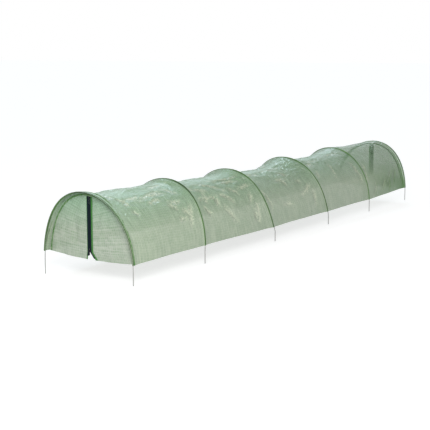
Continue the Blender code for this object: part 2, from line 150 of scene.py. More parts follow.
def to_angle(share):
    """The angle round the arch for a share of the way from the left hem to the right one."""
    return HEM_ANGLE + (math.pi - 2 * HEM_ANGLE) * share


def near_wire(hoop, share, along, out, droops=1.0):
    """Points beside a hoop's wire, along the tunnel and out from the wire's middle."""
    angle = to_angle(np.asarray(share, float))
    place = wire(hoop, angle) + outward(hoop, angle) * np.asarray(out)[..., None]
    place[..., 1] += along
    droop = np.where(np.asarray(share) < 0.5, LEFT_DROOPS[hoop], RIGHT_DROOPS[hoop])
    place[..., 2] -= droops * droop * np.abs(2 * np.asarray(share) - 1) ** DROOP_POWER
    return place


def smoothstep(low, high, x):
    t = np.clip((x - low) / (high - low), 0, 1)
    return t * t * (3 - 2 * t)


print("crown of hoop 3 at", np.round(near_wire(2, [0.5], 0, [0.0])[0], 3))

# %% [markdown]
# ## Small helpers for shader nodes
# A finish is a tree of nodes, and by hand you would drag each node into place. In a script, each
# node takes three lines, so short helpers that add a node, set it and link it keep the finishes
# easy to read. All but the first return a socket, so that one helper can feed the next.

# %% Helpers for shader nodes
def put(tree, kind, links=None, **settings):
    """A node with its settings, and its inputs linked to sockets or set to values."""
    node = tree.nodes.new(kind)
    for key, value in settings.items():
        setattr(node, key, value)
    for key, value in (links or {}).items():
        if isinstance(value, bpy.types.NodeSocket):
            tree.links.new(value, node.inputs[key])
        else:
            node.inputs[key].default_value = value
    return node


def maths(tree, operation, *values):
    return put(tree, "ShaderNodeMath", dict(enumerate(values)), operation=operation).outputs[0]


def noise(tree, place, scale, detail):
    """A cloud of noise. The scale is in clouds to a metre."""
    links = {"Vector": place, "Scale": scale, "Detail": detail}
    return put(tree, "ShaderNodeTexNoise", links).outputs["Fac"]


def ramp(tree, value, low, high, at_high=1.0, at_low=0.0):
    """Turns the range from low to high into the range from at_low to at_high, and clips it."""
    links = {"Value": value, "From Min": low, "From Max": high, "To Min": at_low, "To Max": at_high}
    return put(tree, "ShaderNodeMapRange", links).outputs[0]


def colour_mix(tree, factor, a, b):
    mix = put(tree, "ShaderNodeMix", data_type="RGBA")
    for index, value in ((0, factor), (6, a), (7, b)):
        if isinstance(value, bpy.types.NodeSocket):
            tree.links.new(value, mix.inputs[index])
        else:
            mix.inputs[index].default_value = value
    return mix.outputs[2]


print("node helpers", [helper.__name__ for helper in (put, maths, noise, ramp, colour_mix)])

# %% [markdown]
# ## Helpers for shader groups
# The grid of threads shows on the roof and on the end panels, and the ribs of a woven tape on
# every tape. Such an effect is built once as a node group and then placed in each material with
# its own values. The helpers below make the group with its named inputs and outputs.

# %% Helpers for shader groups
def new_group(name, inputs, outputs):
    """A shader group with named inputs, float outputs, and its input and output nodes."""
    group = bpy.data.node_groups.new(name, "ShaderNodeTree")
    for socket, value in inputs.items():
        kind = "NodeSocketVector" if value is None else "NodeSocketFloat"
        made = group.interface.new_socket(socket, in_out="INPUT", socket_type=kind)
        if value is not None:
            made.default_value = value
    for socket in outputs:
        group.interface.new_socket(socket, in_out="OUTPUT", socket_type="NodeSocketFloat")
    inside = group.nodes.new("NodeGroupInput").outputs
    outside = group.nodes.new("NodeGroupOutput").inputs
    return group, inside, outside


def use_group(tree, group, **links):
    """Places a group in a material and returns its outputs."""
    return put(tree, "ShaderNodeGroup", links, node_tree=group).outputs


print("group helpers", new_group.__name__, "and", use_group.__name__)

# %% [markdown]
# ## Threads in the film
# The film is two thin layers with a net of threads between them, about a centimetre apart. It
# could be a net of real tubes, but that would take millions of faces on a cover this long. So the
# net is painted: the distance to the nearest thread line, on a UV map in metres, gives a mask.
# Every second thread across is doubled here and there, which gives the film its uneven lines.

# %% Group for the threads in the film
THREAD_RUNS = ((0, 1, 0.32), (1, 1, 0.34))  # axis of the UV map, pitch in threads, and strength


def threads_group():
    group, inside, outside = new_group(
        "Grid threads", {"Vector": None, "Spacing": 0.011, "Thread": 0.0026, "Doubled": 0.5}, ["Threads"]
    )
    split = put(group, "ShaderNodeSeparateXYZ", {"Vector": inside["Vector"]})
    grid = None
    for axis, pitch, strength in (*THREAD_RUNS, (1, 2, inside["Doubled"])):
        spacing = maths(group, "MULTIPLY", inside["Spacing"], pitch)
        place = maths(group, "FRACT", maths(group, "DIVIDE", split.outputs[axis], spacing))
        off_middle = maths(group, "ABSOLUTE", maths(group, "SUBTRACT", place, 0.5))
        off_line = maths(group, "MULTIPLY", maths(group, "SUBTRACT", 0.5, off_middle), spacing)
        half = maths(group, "MULTIPLY", inside["Thread"], 0.5 + 0.5 * pitch)
        edge = maths(group, "DIVIDE", off_line, half)
        mask = maths(group, "SUBTRACT", 1.0, maths(group, "MINIMUM", edge, 1.0))
        mask = maths(group, "MULTIPLY", mask, strength)
        grid = mask if grid is None else maths(group, "MAXIMUM", grid, mask)
    group.links.new(grid, outside["Threads"])
    return group


THREADS = threads_group()
print("group", THREADS.name, "with", len(THREADS.nodes), "nodes")

# %% [markdown]
# ## Fine creases in the film
# Between its long folds the real film is crumpled into small crooked ridges. They could be
# modelled, but they are finer than any mesh that a long cover can afford. Where a smooth noise
# crosses its middle value it draws a crooked line, and a steep power turns the line into a ridge.

# %% Group for the fine creases
CREASE_LAYERS = ((1.0, 22.0, 1.0), (2.3, 16.0, 0.7))  # how much finer, how sharp and how strong


def creases_group():
    inputs = {"Vector": None, "Scale": 11.0}
    group, inside, outside = new_group("Film creases", inputs, ["Ridges", "Height"])
    ridges, soft = None, None
    for finer, sharp, strength in CREASE_LAYERS:
        scale = maths(group, "MULTIPLY", inside["Scale"], finer)
        links = {"Vector": inside["Vector"], "Scale": scale, "Detail": 1.5, "Distortion": 1.6}
        cloud = put(group, "ShaderNodeTexNoise", links).outputs["Fac"]
        off = maths(group, "ABSOLUTE", maths(group, "SUBTRACT", cloud, 0.5))
        line = maths(group, "POWER", maths(group, "SUBTRACT", 1.0, off), sharp)
        line = maths(group, "MULTIPLY", line, strength)
        ridges = line if ridges is None else maths(group, "MAXIMUM", ridges, line)
        soft = cloud if soft is None else soft
    group.links.new(ridges, outside["Ridges"])
    group.links.new(maths(group, "MULTIPLY_ADD", ridges, 0.6, soft), outside["Height"])
    return group


CREASED = creases_group()
print("group", CREASED.name, "with", len(CREASED.nodes), "nodes")

# %% [markdown]
# ## Mottle of the film
# Thin film is never one even green: it is blotched, faintly streaked from edge to edge, and
# grained with dark flecks. Noises of different sizes, added up, give this look. The streaks come
# from a noise that a Mapping node squeezes in one direction only.

# %% Group for the mottle of the film
STREAK_SCALES = (7.0, 110.0, 1.0)  # across and along the cover, in clouds to a metre
BLOTCH_SCALE = 24.0
MOTTLE_SCALE = 95.0
GRAIN_SCALE = 260.0


def mottle_group():
    inputs = {"Place": None, "Along": None}
    group, inside, outside = new_group("Film mottle", inputs, ["Shade", "Mottle", "Grain"])
    squeezed = put(group, "ShaderNodeMapping", {"Vector": inside["Along"], "Scale": STREAK_SCALES})
    streaks = noise(group, squeezed.outputs[0], 1.0, 3.0)
    mottle = noise(group, inside["Place"], MOTTLE_SCALE, 3.0)
    shade = maths(group, "MULTIPLY", noise(group, inside["Place"], BLOTCH_SCALE, 3.0), 0.35)
    shade = maths(group, "MULTIPLY_ADD", mottle, 0.35, shade)
    shade = maths(group, "MULTIPLY_ADD", streaks, 0.3, shade)
    grain = maths(group, "MULTIPLY_ADD", streaks, 0.8, noise(group, inside["Place"], GRAIN_SCALE, 2.0))
    group.links.new(ramp(group, shade, 0.44, 0.56), outside["Shade"])
    group.links.new(mottle, outside["Mottle"])
    group.links.new(ramp(group, grain, 0.78, 1.02, at_high=0.0, at_low=0.5), outside["Grain"])
    return group


MOTTLED = mottle_group()
print("group", MOTTLED.name, "with", len(MOTTLED.nodes), "nodes")

# %% [markdown]
# ## Crests of the large creases
# Along the top of a fold the film is painted pale: partly stretched film, partly a painted highlight.
# Down its flanks it gets a painted shade. The mesh of the cover will say how near each point is to a
# fold, as a value from 0 to 1. Mixed with the mottle, the edge of the pale crest turns ragged, as on
# real film, and not ruled. Beside the crest, the finest ridges are painted pale too, as painted
# glints, so that the fold looks crumpled.

# %% Group for the crests of the creases
PALE_FROM, PALE_TO = 0.62, 0.95
FLANK_FROM, FLANK_TO = 0.15, 0.45
FACETS_FROM, FACETS_TO = 0.3, 0.75
CRUMPLED_WITHIN = 0.3


def crests_group():
    group, inside, outside = new_group(
        "Crease crests", {"Nearness": 0.0, "Mottle": 0.5, "Ridges": 0.0}, ["Crest", "FlankShade"]
    )
    uneven = maths(group, "SUBTRACT", inside["Mottle"], 0.5)
    ragged = maths(group, "MULTIPLY_ADD", uneven, 1.5, inside["Nearness"])
    crumpled = ramp(group, inside["Nearness"], 0.0, CRUMPLED_WITHIN)
    ridges = ramp(group, inside["Ridges"], FACETS_FROM, FACETS_TO)
    facets = maths(group, "MULTIPLY", ridges, crumpled)
    pale = ramp(group, ragged, PALE_FROM, PALE_TO)
    # Pale crest: partly stretched film, partly painted highlight and glints on the fine ridges.
    group.links.new(maths(group, "MAXIMUM", pale, facets), outside["Crest"])
    # Painted shade down the flanks of a fold.
    group.links.new(ramp(group, ragged, FLANK_FROM, FLANK_TO, at_high=0.45), outside["FlankShade"])
    return group


CRESTS = crests_group()
print("group", CRESTS.name, "with", len(CRESTS.nodes), "nodes")

# %% [markdown]
# ## Patterns on a film
# Now the groups are placed in a material. Some patterns are read at a point's place in space,
# and others on the UV map in metres, which follows the sheet as it bends. The cover also carries
# values of its own at each point: how slack it is, where it is creased, and how much painted shade
# the sleeves give it.

# %% Patterns on a film
PATCH_SCALE = 9.0
FINE_CREASE_SCALE = 30.0


def new_material(name):
    made = bpy.data.materials.new(name)
    made.use_nodes = True
    return made, made.node_tree, made.node_tree.nodes["Principled BSDF"]


def point_value(tree, name):
    return put(tree, "ShaderNodeAttribute", attribute_name=name).outputs["Fac"]


def film_patterns(tree, doubled, slack):
    """All patterns that a film's colour, clearness and relief are mixed from."""
    metres = put(tree, "ShaderNodeUVMap", uv_map="metres").outputs[0]
    place = put(tree, "ShaderNodeTexCoord").outputs["Object"]
    patches = noise(tree, place, PATCH_SCALE, 4.0)
    seen = ramp(tree, patches, 0.42, 0.6, at_high=doubled)
    threads = use_group(tree, THREADS, Vector=metres, Doubled=seen)["Threads"]
    creases = use_group(tree, CREASED, Vector=metres)
    fine = use_group(tree, CREASED, Vector=metres, Scale=FINE_CREASE_SCALE)
    mottle = use_group(tree, MOTTLED, Place=place, Along=metres)
    near = point_value(tree, "crease")
    crests = use_group(tree, CRESTS, Nearness=near, Mottle=mottle["Mottle"], Ridges=fine["Ridges"])
    loose = point_value(tree, "slack") if slack is None else slack
    # The fine crease ridges are painted pale like the threads: partly creased film, partly painted highlight.
    ridge = maths(tree, "MULTIPLY", creases["Ridges"], loose)
    drawn = maths(tree, "MULTIPLY_ADD", threads, 0.62, 0.38)
    height = maths(tree, "MULTIPLY_ADD", fine["Height"], 0.45, creases["Height"])
    return {
        "axes": put(tree, "ShaderNodeSeparateXYZ", {0: place}).outputs,
        "patches": patches,
        "threads": threads,
        "mottle": mottle,
        "crests": crests,
        "lines": maths(tree, "MAXIMUM", drawn, ridge),
        "height": maths(tree, "MULTIPLY_ADD", near, 1.2, maths(tree, "MULTIPLY", height, loose)),
    }


print("pattern groups", [group.name for group in (THREADS, CREASED, MOTTLED, CRESTS)])

# %% [markdown]
# ## Colour of a film
# The film is a soft green with paler threads. Towards the top it gets a painted shade, darker and
# greener, for the shaded far side seen through it. Towards the back end a painted shade makes it
# darker and greener, on the roof first and then all over. Each step below mixes one more of these
# into the colour, from the ground up.

# %% Colour of a film
UPPER_FROM, UPPER_TO = 300 * MM, 420 * MM  # heights
ROOF_SHADE_FROM, ROOF_SHADE_TO = 0.1, 0.6  # places along the tunnel
FAR_FROM, FAR_TO = 0.8, 1.25
DARKER_BY = 0.65
CREST_PALENESS = 0.85
ROOF_SHADE = 0.3
FAR_SHADE = 0.74
# Painted shade higher up: film and threads darker and greener, for the shaded far side seen through.
UPPER_SHADE_TINT = (0.55, 0.89, 0.68)
UPPER_SHADE_THREAD = (0.85, 1.0, 0.93)
# Dark green of the random mottle, and of the painted shade on crease flanks and the back roof.
DARK_MOTTLE_AND_SHADE = (0.06, 0.19, 0.065, 1)
FLECKS = (0.07, 0.18, 0.07, 1)
# Painted shade beside each hoop, where the sleeve also partly shows through the film.
SLEEVE_SHADE_AND_SHOWTHROUGH = (0.05, 0.17, 0.05, 1)
# Pale crests: partly stretched film, partly painted highlight.
STRETCHED_AND_HIGHLIGHT = (0.62, 0.67, 0.5, 1)
# Painted shade towards the back end of the tunnel.
BACK_END_SHADE = (0.058, 0.18, 0.034, 1)


def times(colour, shares):
    return (*(c * share for c, share in zip(colour, shares)), 1)


def film_colour(tree, patterns, tint, thread):
    # Painted shade: higher up the film is darker and greener, for the shaded far side seen through it.
    upper = ramp(tree, patterns["axes"]["Z"], UPPER_FROM, UPPER_TO)
    tint = colour_mix(tree, upper, tint, times(tint, UPPER_SHADE_TINT))
    thread = colour_mix(tree, upper, thread, times(thread, UPPER_SHADE_THREAD))
    darker = colour_mix(tree, DARKER_BY, tint, DARK_MOTTLE_AND_SHADE)
    base = colour_mix(tree, patterns["mottle"]["Shade"], darker, tint)
    base = colour_mix(tree, patterns["mottle"]["Grain"], base, FLECKS)
    # Painted shade beside each hoop, where the sleeve under the film also partly shows through.
    base = colour_mix(tree, point_value(tree, "sleeve_shade_and_showthrough"), base, SLEEVE_SHADE_AND_SHOWTHROUGH)
    # Painted shade down the flanks of the large creases.
    base = colour_mix(tree, patterns["crests"]["FlankShade"], base, darker)
    base = colour_mix(tree, patterns["lines"], base, thread)
    # Painted highlight: pale crests stand partly for stretched film, partly for light on the folds.
    crest = maths(tree, "MULTIPLY", patterns["crests"]["Crest"], CREST_PALENESS)
    base = colour_mix(tree, crest, base, STRETCHED_AND_HIGHLIGHT)
    # Painted shade: the roof darker towards the back end, then the whole film darker and greener.
    along = patterns["axes"]["Y"]
    distant = ramp(tree, along, ROOF_SHADE_FROM, ROOF_SHADE_TO, at_high=ROOF_SHADE)
    base = colour_mix(tree, maths(tree, "MULTIPLY", upper, distant), base, DARK_MOTTLE_AND_SHADE)
    far = ramp(tree, along, FAR_FROM, FAR_TO, at_high=FAR_SHADE)
    return colour_mix(tree, far, base, BACK_END_SHADE)


print("film shades", len((DARK_MOTTLE_AND_SHADE, FLECKS, SLEEVE_SHADE_AND_SHOWTHROUGH, STRETCHED_AND_HIGHLIGHT, BACK_END_SHADE)))

# %% [markdown]
# ## The whole film finish
# Real film lets part of the light through. A Transmission value would bend the light as glass
# does, which a sheet without thickness shouldn't, so Alpha makes it clear in part. Threads and
# creases are denser than the film between them. The foot of the wall is milky with splashes, and
# the film gets clearer towards the back end, where the zip of the far panel shows through it.

# %% Film finish
CLEAR_FROM, CLEAR_TO = 0.5, 1.2  # places along the tunnel
CLEARER_BY = 0.62
RINSED_FROM, RINSED_TO = 0.95, 1.25
RINSED_BY = 0.45
FOOT_FROM, FOOT_TO = 220 * MM, 320 * MM  # heights
GLOSSY, DULL = 0.2, 0.46
FILM_SPECULAR = 0.35
THREAD_RELIEF = 0.8 * MM
CREASE_RELIEF = 7 * MM


def film_finish(name, tint, thread, clear, dense, low, doubled, slack=None):
    """Film with a thread grid. clear, dense and low are how opaque film, threads and foot are."""
    made, tree, shader = new_material(name)
    patterns = film_patterns(tree, doubled, slack)
    tree.links.new(film_colour(tree, patterns, tint, thread), shader.inputs["Base Color"])
    along, up = patterns["axes"]["Y"], patterns["axes"]["Z"]
    milky = ramp(tree, along, CLEAR_FROM, CLEAR_TO, at_high=clear - CLEARER_BY, at_low=clear)
    splashed = ramp(tree, up, UPPER_FROM, UPPER_TO, at_high=0.0, at_low=low)
    rinsed = ramp(tree, along, RINSED_FROM, RINSED_TO, at_high=RINSED_BY)
    splashed = maths(tree, "MULTIPLY", splashed, maths(tree, "SUBTRACT", 1.0, rinsed))
    foot = ramp(tree, up, FOOT_FROM, FOOT_TO, at_high=0.0, at_low=low)
    solid = maths(tree, "MAXIMUM", maths(tree, "MAXIMUM", milky, splashed), foot)
    pale = maths(tree, "MAXIMUM", patterns["lines"], patterns["crests"]["Crest"])
    tree.links.new(ramp(tree, pale, 0, 1, at_high=dense, at_low=solid), shader.inputs["Alpha"])
    rough = ramp(tree, patterns["patches"], 0, 1, at_high=DULL, at_low=GLOSSY)
    tree.links.new(rough, shader.inputs["Roughness"])
    shader.inputs["Specular IOR Level"].default_value = FILM_SPECULAR
    links = {"Strength": 0.5, "Distance": THREAD_RELIEF, "Height": patterns["threads"]}
    grid = put(tree, "ShaderNodeBump", links).outputs[0]
    links = {"Strength": 1.0, "Distance": CREASE_RELIEF, "Height": patterns["height"], "Normal": grid}
    tree.links.new(put(tree, "ShaderNodeBump", links).outputs[0], shader.inputs["Normal"])
    return made


FILM = film_finish(
    "Grid film", tint=(0.278, 0.372, 0.244, 1), thread=(0.52, 0.56, 0.44, 1),
    clear=0.92, dense=0.98, low=0.97, doubled=0.6,
)
PANEL_FILM = film_finish(
    "Panel film", tint=(0.35, 0.41, 0.32, 1), thread=(0.52, 0.55, 0.46, 1),
    clear=0.9, dense=0.98, low=0.93, doubled=0.0, slack=0.15,
)
print("films", FILM.name, "and", PANEL_FILM.name, "with", len(FILM.node_tree.nodes), "nodes each")

# %% [markdown]
# ## Weave of the tapes
# The casings, seam bindings and zip tapes are narrow woven bands with fine ribs. Their threads
# could be a mesh, but no one sees a thread 1 mm wide from a metre away, so two crossed sine waves
# give the ribs their relief, and a cloud of noise gives the yarn its uneven dye.

# %% Group for the weave of a tape
DYE_SCALE = 90.0


def weave_group():
    inputs = {"Vector": None, "Rib": 0.0012}
    group, inside, outside = new_group("Tape weave", inputs, ["Height", "Shade"])
    split = put(group, "ShaderNodeSeparateXYZ", {"Vector": inside["Vector"]})
    waves = []
    for axis in (0, 1):
        turns = maths(group, "DIVIDE", split.outputs[axis], inside["Rib"])
        waves.append(maths(group, "SINE", maths(group, "MULTIPLY", turns, 2 * math.pi)))
    height = maths(group, "MULTIPLY_ADD", maths(group, "MULTIPLY", *waves), 0.5, 0.5)
    group.links.new(height, outside["Height"])
    dye = noise(group, inside["Vector"], DYE_SCALE, 3.0)
    group.links.new(maths(group, "MULTIPLY_ADD", height, 0.4, dye), outside["Shade"])
    return group


WEAVE = weave_group()
print("group", WEAVE.name, "with", len(WEAVE.nodes), "nodes")

# %% [markdown]
# ## Tape finishes
# The casings over the hoops are almost black-green at the front and fade to a lighter green at
# the back. The binding of the front seam is patchy, because the film over it hides it here and
# there. Both are one tape finish with a second colour laid over it through a mask.

# %% Tape finishes
FADE_FROM, FADE_TO = -0.7, 0.9  # places along the tunnel
CLOUD_SCALE = 6.0
HIDDEN_SCALE = 55.0
TAPE_SPECULAR = 0.2
TAPE_RELIEF = 0.3 * MM


def faded_mask(tree, place):
    """From none at the front to full at the back, in clouds."""
    along = put(tree, "ShaderNodeSeparateXYZ", {0: place}).outputs["Y"]
    far = ramp(tree, along, FADE_FROM, FADE_TO)
    cloud = maths(tree, "SUBTRACT", noise(tree, place, CLOUD_SCALE, 2.0), 0.45)
    mask = maths(tree, "MULTIPLY_ADD", far, 0.7, maths(tree, "MULTIPLY", cloud, 1.5))
    return put(tree, "ShaderNodeClamp", {0: mask}).outputs[0]


def patchy_mask(tree, place):
    """Where the film over a tape hides it."""
    return ramp(tree, noise(tree, place, HIDDEN_SCALE, 3.0), 0.42, 0.6, at_high=0.85)


def tape_finish(name, low, high, rib, roughness=0.75, mask=None, over=None):
    made, tree, shader = new_material(name)
    metres = put(tree, "ShaderNodeUVMap", uv_map="metres").outputs[0]
    weave = use_group(tree, WEAVE, Vector=metres, Rib=rib)
    colour = colour_mix(tree, weave["Shade"], low, high)
    if mask:
        place = put(tree, "ShaderNodeTexCoord").outputs["Object"]
        colour = colour_mix(tree, mask(tree, place), colour, over)
    tree.links.new(colour, shader.inputs["Base Color"])
    shader.inputs["Roughness"].default_value = roughness
    shader.inputs["Specular IOR Level"].default_value = TAPE_SPECULAR
    links = {"Strength": 0.5, "Distance": TAPE_RELIEF, "Height": weave["Height"]}
    bump = put(tree, "ShaderNodeBump", links)
    tree.links.new(bump.outputs[0], shader.inputs["Normal"])
    return made


GREEN_TAPE = tape_finish("Green tape", (0.03, 0.12, 0.03, 1), (0.07, 0.22, 0.05, 1), rib=1.2 * MM)
CASING = tape_finish(
    "Casing tape", (0.03, 0.06, 0.025, 1), (0.06, 0.11, 0.04, 1), rib=1.2 * MM,
    roughness=0.6, mask=faded_mask, over=(0.14, 0.3, 0.085, 1),
)
SEAM_TAPE = tape_finish(
    "Seam tape", (0.055, 0.15, 0.04, 1), (0.1, 0.23, 0.07, 1), rib=1.2 * MM,
    mask=patchy_mask, over=(0.22, 0.32, 0.17, 1),
)
BACK_TAPE = tape_finish("Back seam tape", (0.08, 0.21, 0.05, 1), (0.14, 0.33, 0.08, 1), rib=1.2 * MM)
NAVY_TAPE = tape_finish(
    "Navy zip tape", (0.002, 0.006, 0.01, 1), (0.006, 0.014, 0.02, 1), rib=0.9 * MM, roughness=0.9
)
print("tapes", [tape.name for tape in (GREEN_TAPE, CASING, SEAM_TAPE, BACK_TAPE, NAVY_TAPE)])

# %% [markdown]
# ## Finishes of wire, metal, coil and thread
# The hoops are coated wire, the slider is dark metal, and the zip's coil and the sewing thread
# are hard plastic and yarn. None is one flat colour up close. One noise group, fine enough for
# the piece, gives each of them its mottle in colour, in gloss and in relief.

# %% Finishes of wire, metal, coil and thread
SPECKLE_RELIEF = 0.2 * MM


def speckle_group():
    group, inside, outside = new_group("Speckle", {"Place": None, "Scale": 500.0}, ["Speckle"])
    group.links.new(noise(group, inside["Place"], inside["Scale"], 4.0), outside["Speckle"])
    return group


SPECKLE = speckle_group()


def hard_finish(name, low, high, scale, rough, metallic, bump, specular=0.5):
    made, tree, shader = new_material(name)
    place = put(tree, "ShaderNodeTexCoord").outputs["Object"]
    speckle = use_group(tree, SPECKLE, Place=place, Scale=scale)["Speckle"]
    tree.links.new(colour_mix(tree, speckle, low, high), shader.inputs["Base Color"])
    gloss = ramp(tree, speckle, 0, 1, at_high=rough[1], at_low=rough[0])
    tree.links.new(gloss, shader.inputs["Roughness"])
    shader.inputs["Metallic"].default_value = metallic
    shader.inputs["Specular IOR Level"].default_value = specular
    relief = put(tree, "ShaderNodeBump", {"Strength": bump, "Distance": SPECKLE_RELIEF, "Height": speckle})
    tree.links.new(relief.outputs[0], shader.inputs["Normal"])
    return made


COIL = hard_finish(
    "Zip coil", (0.002, 0.005, 0.008, 1), (0.006, 0.012, 0.016, 1),
    scale=900.0, rough=(0.7, 0.85), metallic=0.0, bump=0.2, specular=0.15,
)
WIRE = hard_finish(
    "Coated wire", (0.3, 0.3, 0.28, 1), (0.42, 0.42, 0.4, 1),
    scale=260.0, rough=(0.35, 0.55), metallic=0.3, bump=0.3,
)
METAL = hard_finish(
    "Dark slider metal", (0.02, 0.02, 0.024, 1), (0.05, 0.05, 0.055, 1),
    scale=700.0, rough=(0.28, 0.5), metallic=0.9, bump=0.3,
)
THREAD = hard_finish(
    "Sewing thread", (0.05, 0.15, 0.05, 1), (0.1, 0.24, 0.09, 1),
    scale=1500.0, rough=(0.6, 0.8), metallic=0.0, bump=0.4,
)
print("materials", len(bpy.data.materials))

# %% [markdown]
# ## From a grid of points to a mesh
# Film and tapes are sheets, and a sheet is easiest as rows and columns of points. These helpers
# turn such a grid into faces, and give it a UV map in real metres by adding up the distances
# along its rows and columns. Threads and ribs then keep their size however the sheet bends.

# %% From a grid of points to a mesh
def add_mesh(name, points, faces, uvs, finish):
    """A smooth mesh at the origin, with a UV map in metres. uvs has one pair for each point."""
    mesh = bpy.data.meshes.new(name)
    mesh.from_pydata([tuple(p) for p in points], [], [tuple(f) for f in faces])
    layer = mesh.uv_layers.new(name="metres")
    corners = np.empty(len(mesh.loops), np.int32)
    mesh.loops.foreach_get("vertex_index", corners)
    layer.data.foreach_set("uv", np.asarray(uvs, np.float32)[corners].ravel())
    mesh.materials.append(finish)
    mesh.update()
    mesh.shade_smooth()
    made = bpy.data.objects.new(name, mesh)
    bpy.context.scene.collection.objects.link(made)
    return made


def grid_faces(rows, columns, flip=False):
    index = np.arange(rows * columns).reshape(rows, columns)
    quads = np.stack([index[:-1, :-1], index[:-1, 1:], index[1:, 1:], index[1:, :-1]], axis=-1).reshape(-1, 4)
    return quads[:, ::-1] if flip else quads


def grid_uvs(grid):
    """Distances along the rows and columns of a grid of points."""
    across = np.cumsum(np.pad(np.linalg.norm(np.diff(grid, axis=1), axis=2), ((0, 0), (1, 0))), axis=1)
    along = np.cumsum(np.pad(np.linalg.norm(np.diff(grid, axis=0), axis=2), ((1, 0), (0, 0))), axis=0)
    middle = grid.shape[1] // 2
    across = across - across[:, middle:middle + 1]
    along = np.broadcast_to(along.mean(axis=1, keepdims=True), across.shape)
    return np.stack([across, along], axis=-1)


def join_grids(name, grids, finish):
    """One mesh of several grids, each with whether its faces are flipped."""
    points, faces, uvs, base = [], [], [], 0
    for grid, flip in grids:
        rows, columns = grid.shape[:2]
        points.append(grid.reshape(-1, 3))
        uvs.append(grid_uvs(grid).reshape(-1, 2))
        faces.append(grid_faces(rows, columns, flip) + base)
        base += rows * columns
    return add_mesh(name, np.concatenate(points), np.concatenate(faces), np.concatenate(uvs), finish)


def area_of(piece):
    return sum(face.area for face in piece.data.polygons)


print("faces of a grid of 3 by 4 points", len(grid_faces(3, 4)))

# %% [markdown]
# ## Smooth unevenness
# Film is never quite smooth, but its waves are no pattern either. Adding up a handful of plane
# waves with random directions and lengths gives such a surface. The random numbers start from a
# fixed seed, so the cover comes out the same at each run.

# %% Smooth unevenness
class Waves:
    """Smooth noise from a few plane waves, the same each run."""

    def __init__(self, seed, wavelength, count=18):
        rng = np.random.default_rng(seed)
        turn = rng.uniform(0, 2 * math.pi, count)
        pitch = 2 * math.pi / (wavelength * rng.uniform(0.6, 1.6, count))
        self.k = np.stack([np.cos(turn), np.sin(turn)], axis=1) * pitch[:, None]
        self.phase = rng.uniform(0, 2 * math.pi, count)

    def __call__(self, a, b):
        a, b = np.broadcast_arrays(a, b)
        waves = np.cos(a[..., None] * self.k[:, 0] + b[..., None] * self.k[:, 1] + self.phase)
        return waves.sum(axis=-1) / math.sqrt(len(self.phase))


WIDE = Waves(3, 0.34)
MIDDLE = Waves(5, 0.11)
SMALL = Waves(8, 0.045)
print("waves at the middle", [round(float(waves(0.0, 0.0)), 3) for waves in (WIDE, MIDDLE, SMALL)])

# %% [markdown]
# ## Columns of the cover
# The cover is one grid: its columns run from hem to hem over the ridge, and its rows follow each
# other along the tunnel. The columns stand closer over the ridge and the shoulders, where the
# film is most creased, and further apart low on the walls.

# %% Columns of the cover
COLUMNS = 168
EVEN = np.linspace(-1, 1, COLUMNS + 1)
SHARES = 0.5 + 0.5 * (0.72 * EVEN + 0.28 * EVEN**3)
ANGLES = to_angle(SHARES)
ARC = 0.95  # from hem to hem, round the arch
HEM_TO_HEM = ARC * (SHARES - 0.5)
print("columns", len(SHARES), "from", round(float(HEM_TO_HEM[0]), 3), "to", round(float(HEM_TO_HEM[-1]), 3))

# %% [markdown]
# ## The large creases
# The film came folded in a packet, and the tension between two hoops pulls new folds into it.
# These can't be random, because they are what you notice first, so each fold on the near side
# has its own entry in a table: where it starts and ends in its bay, its height and its width.

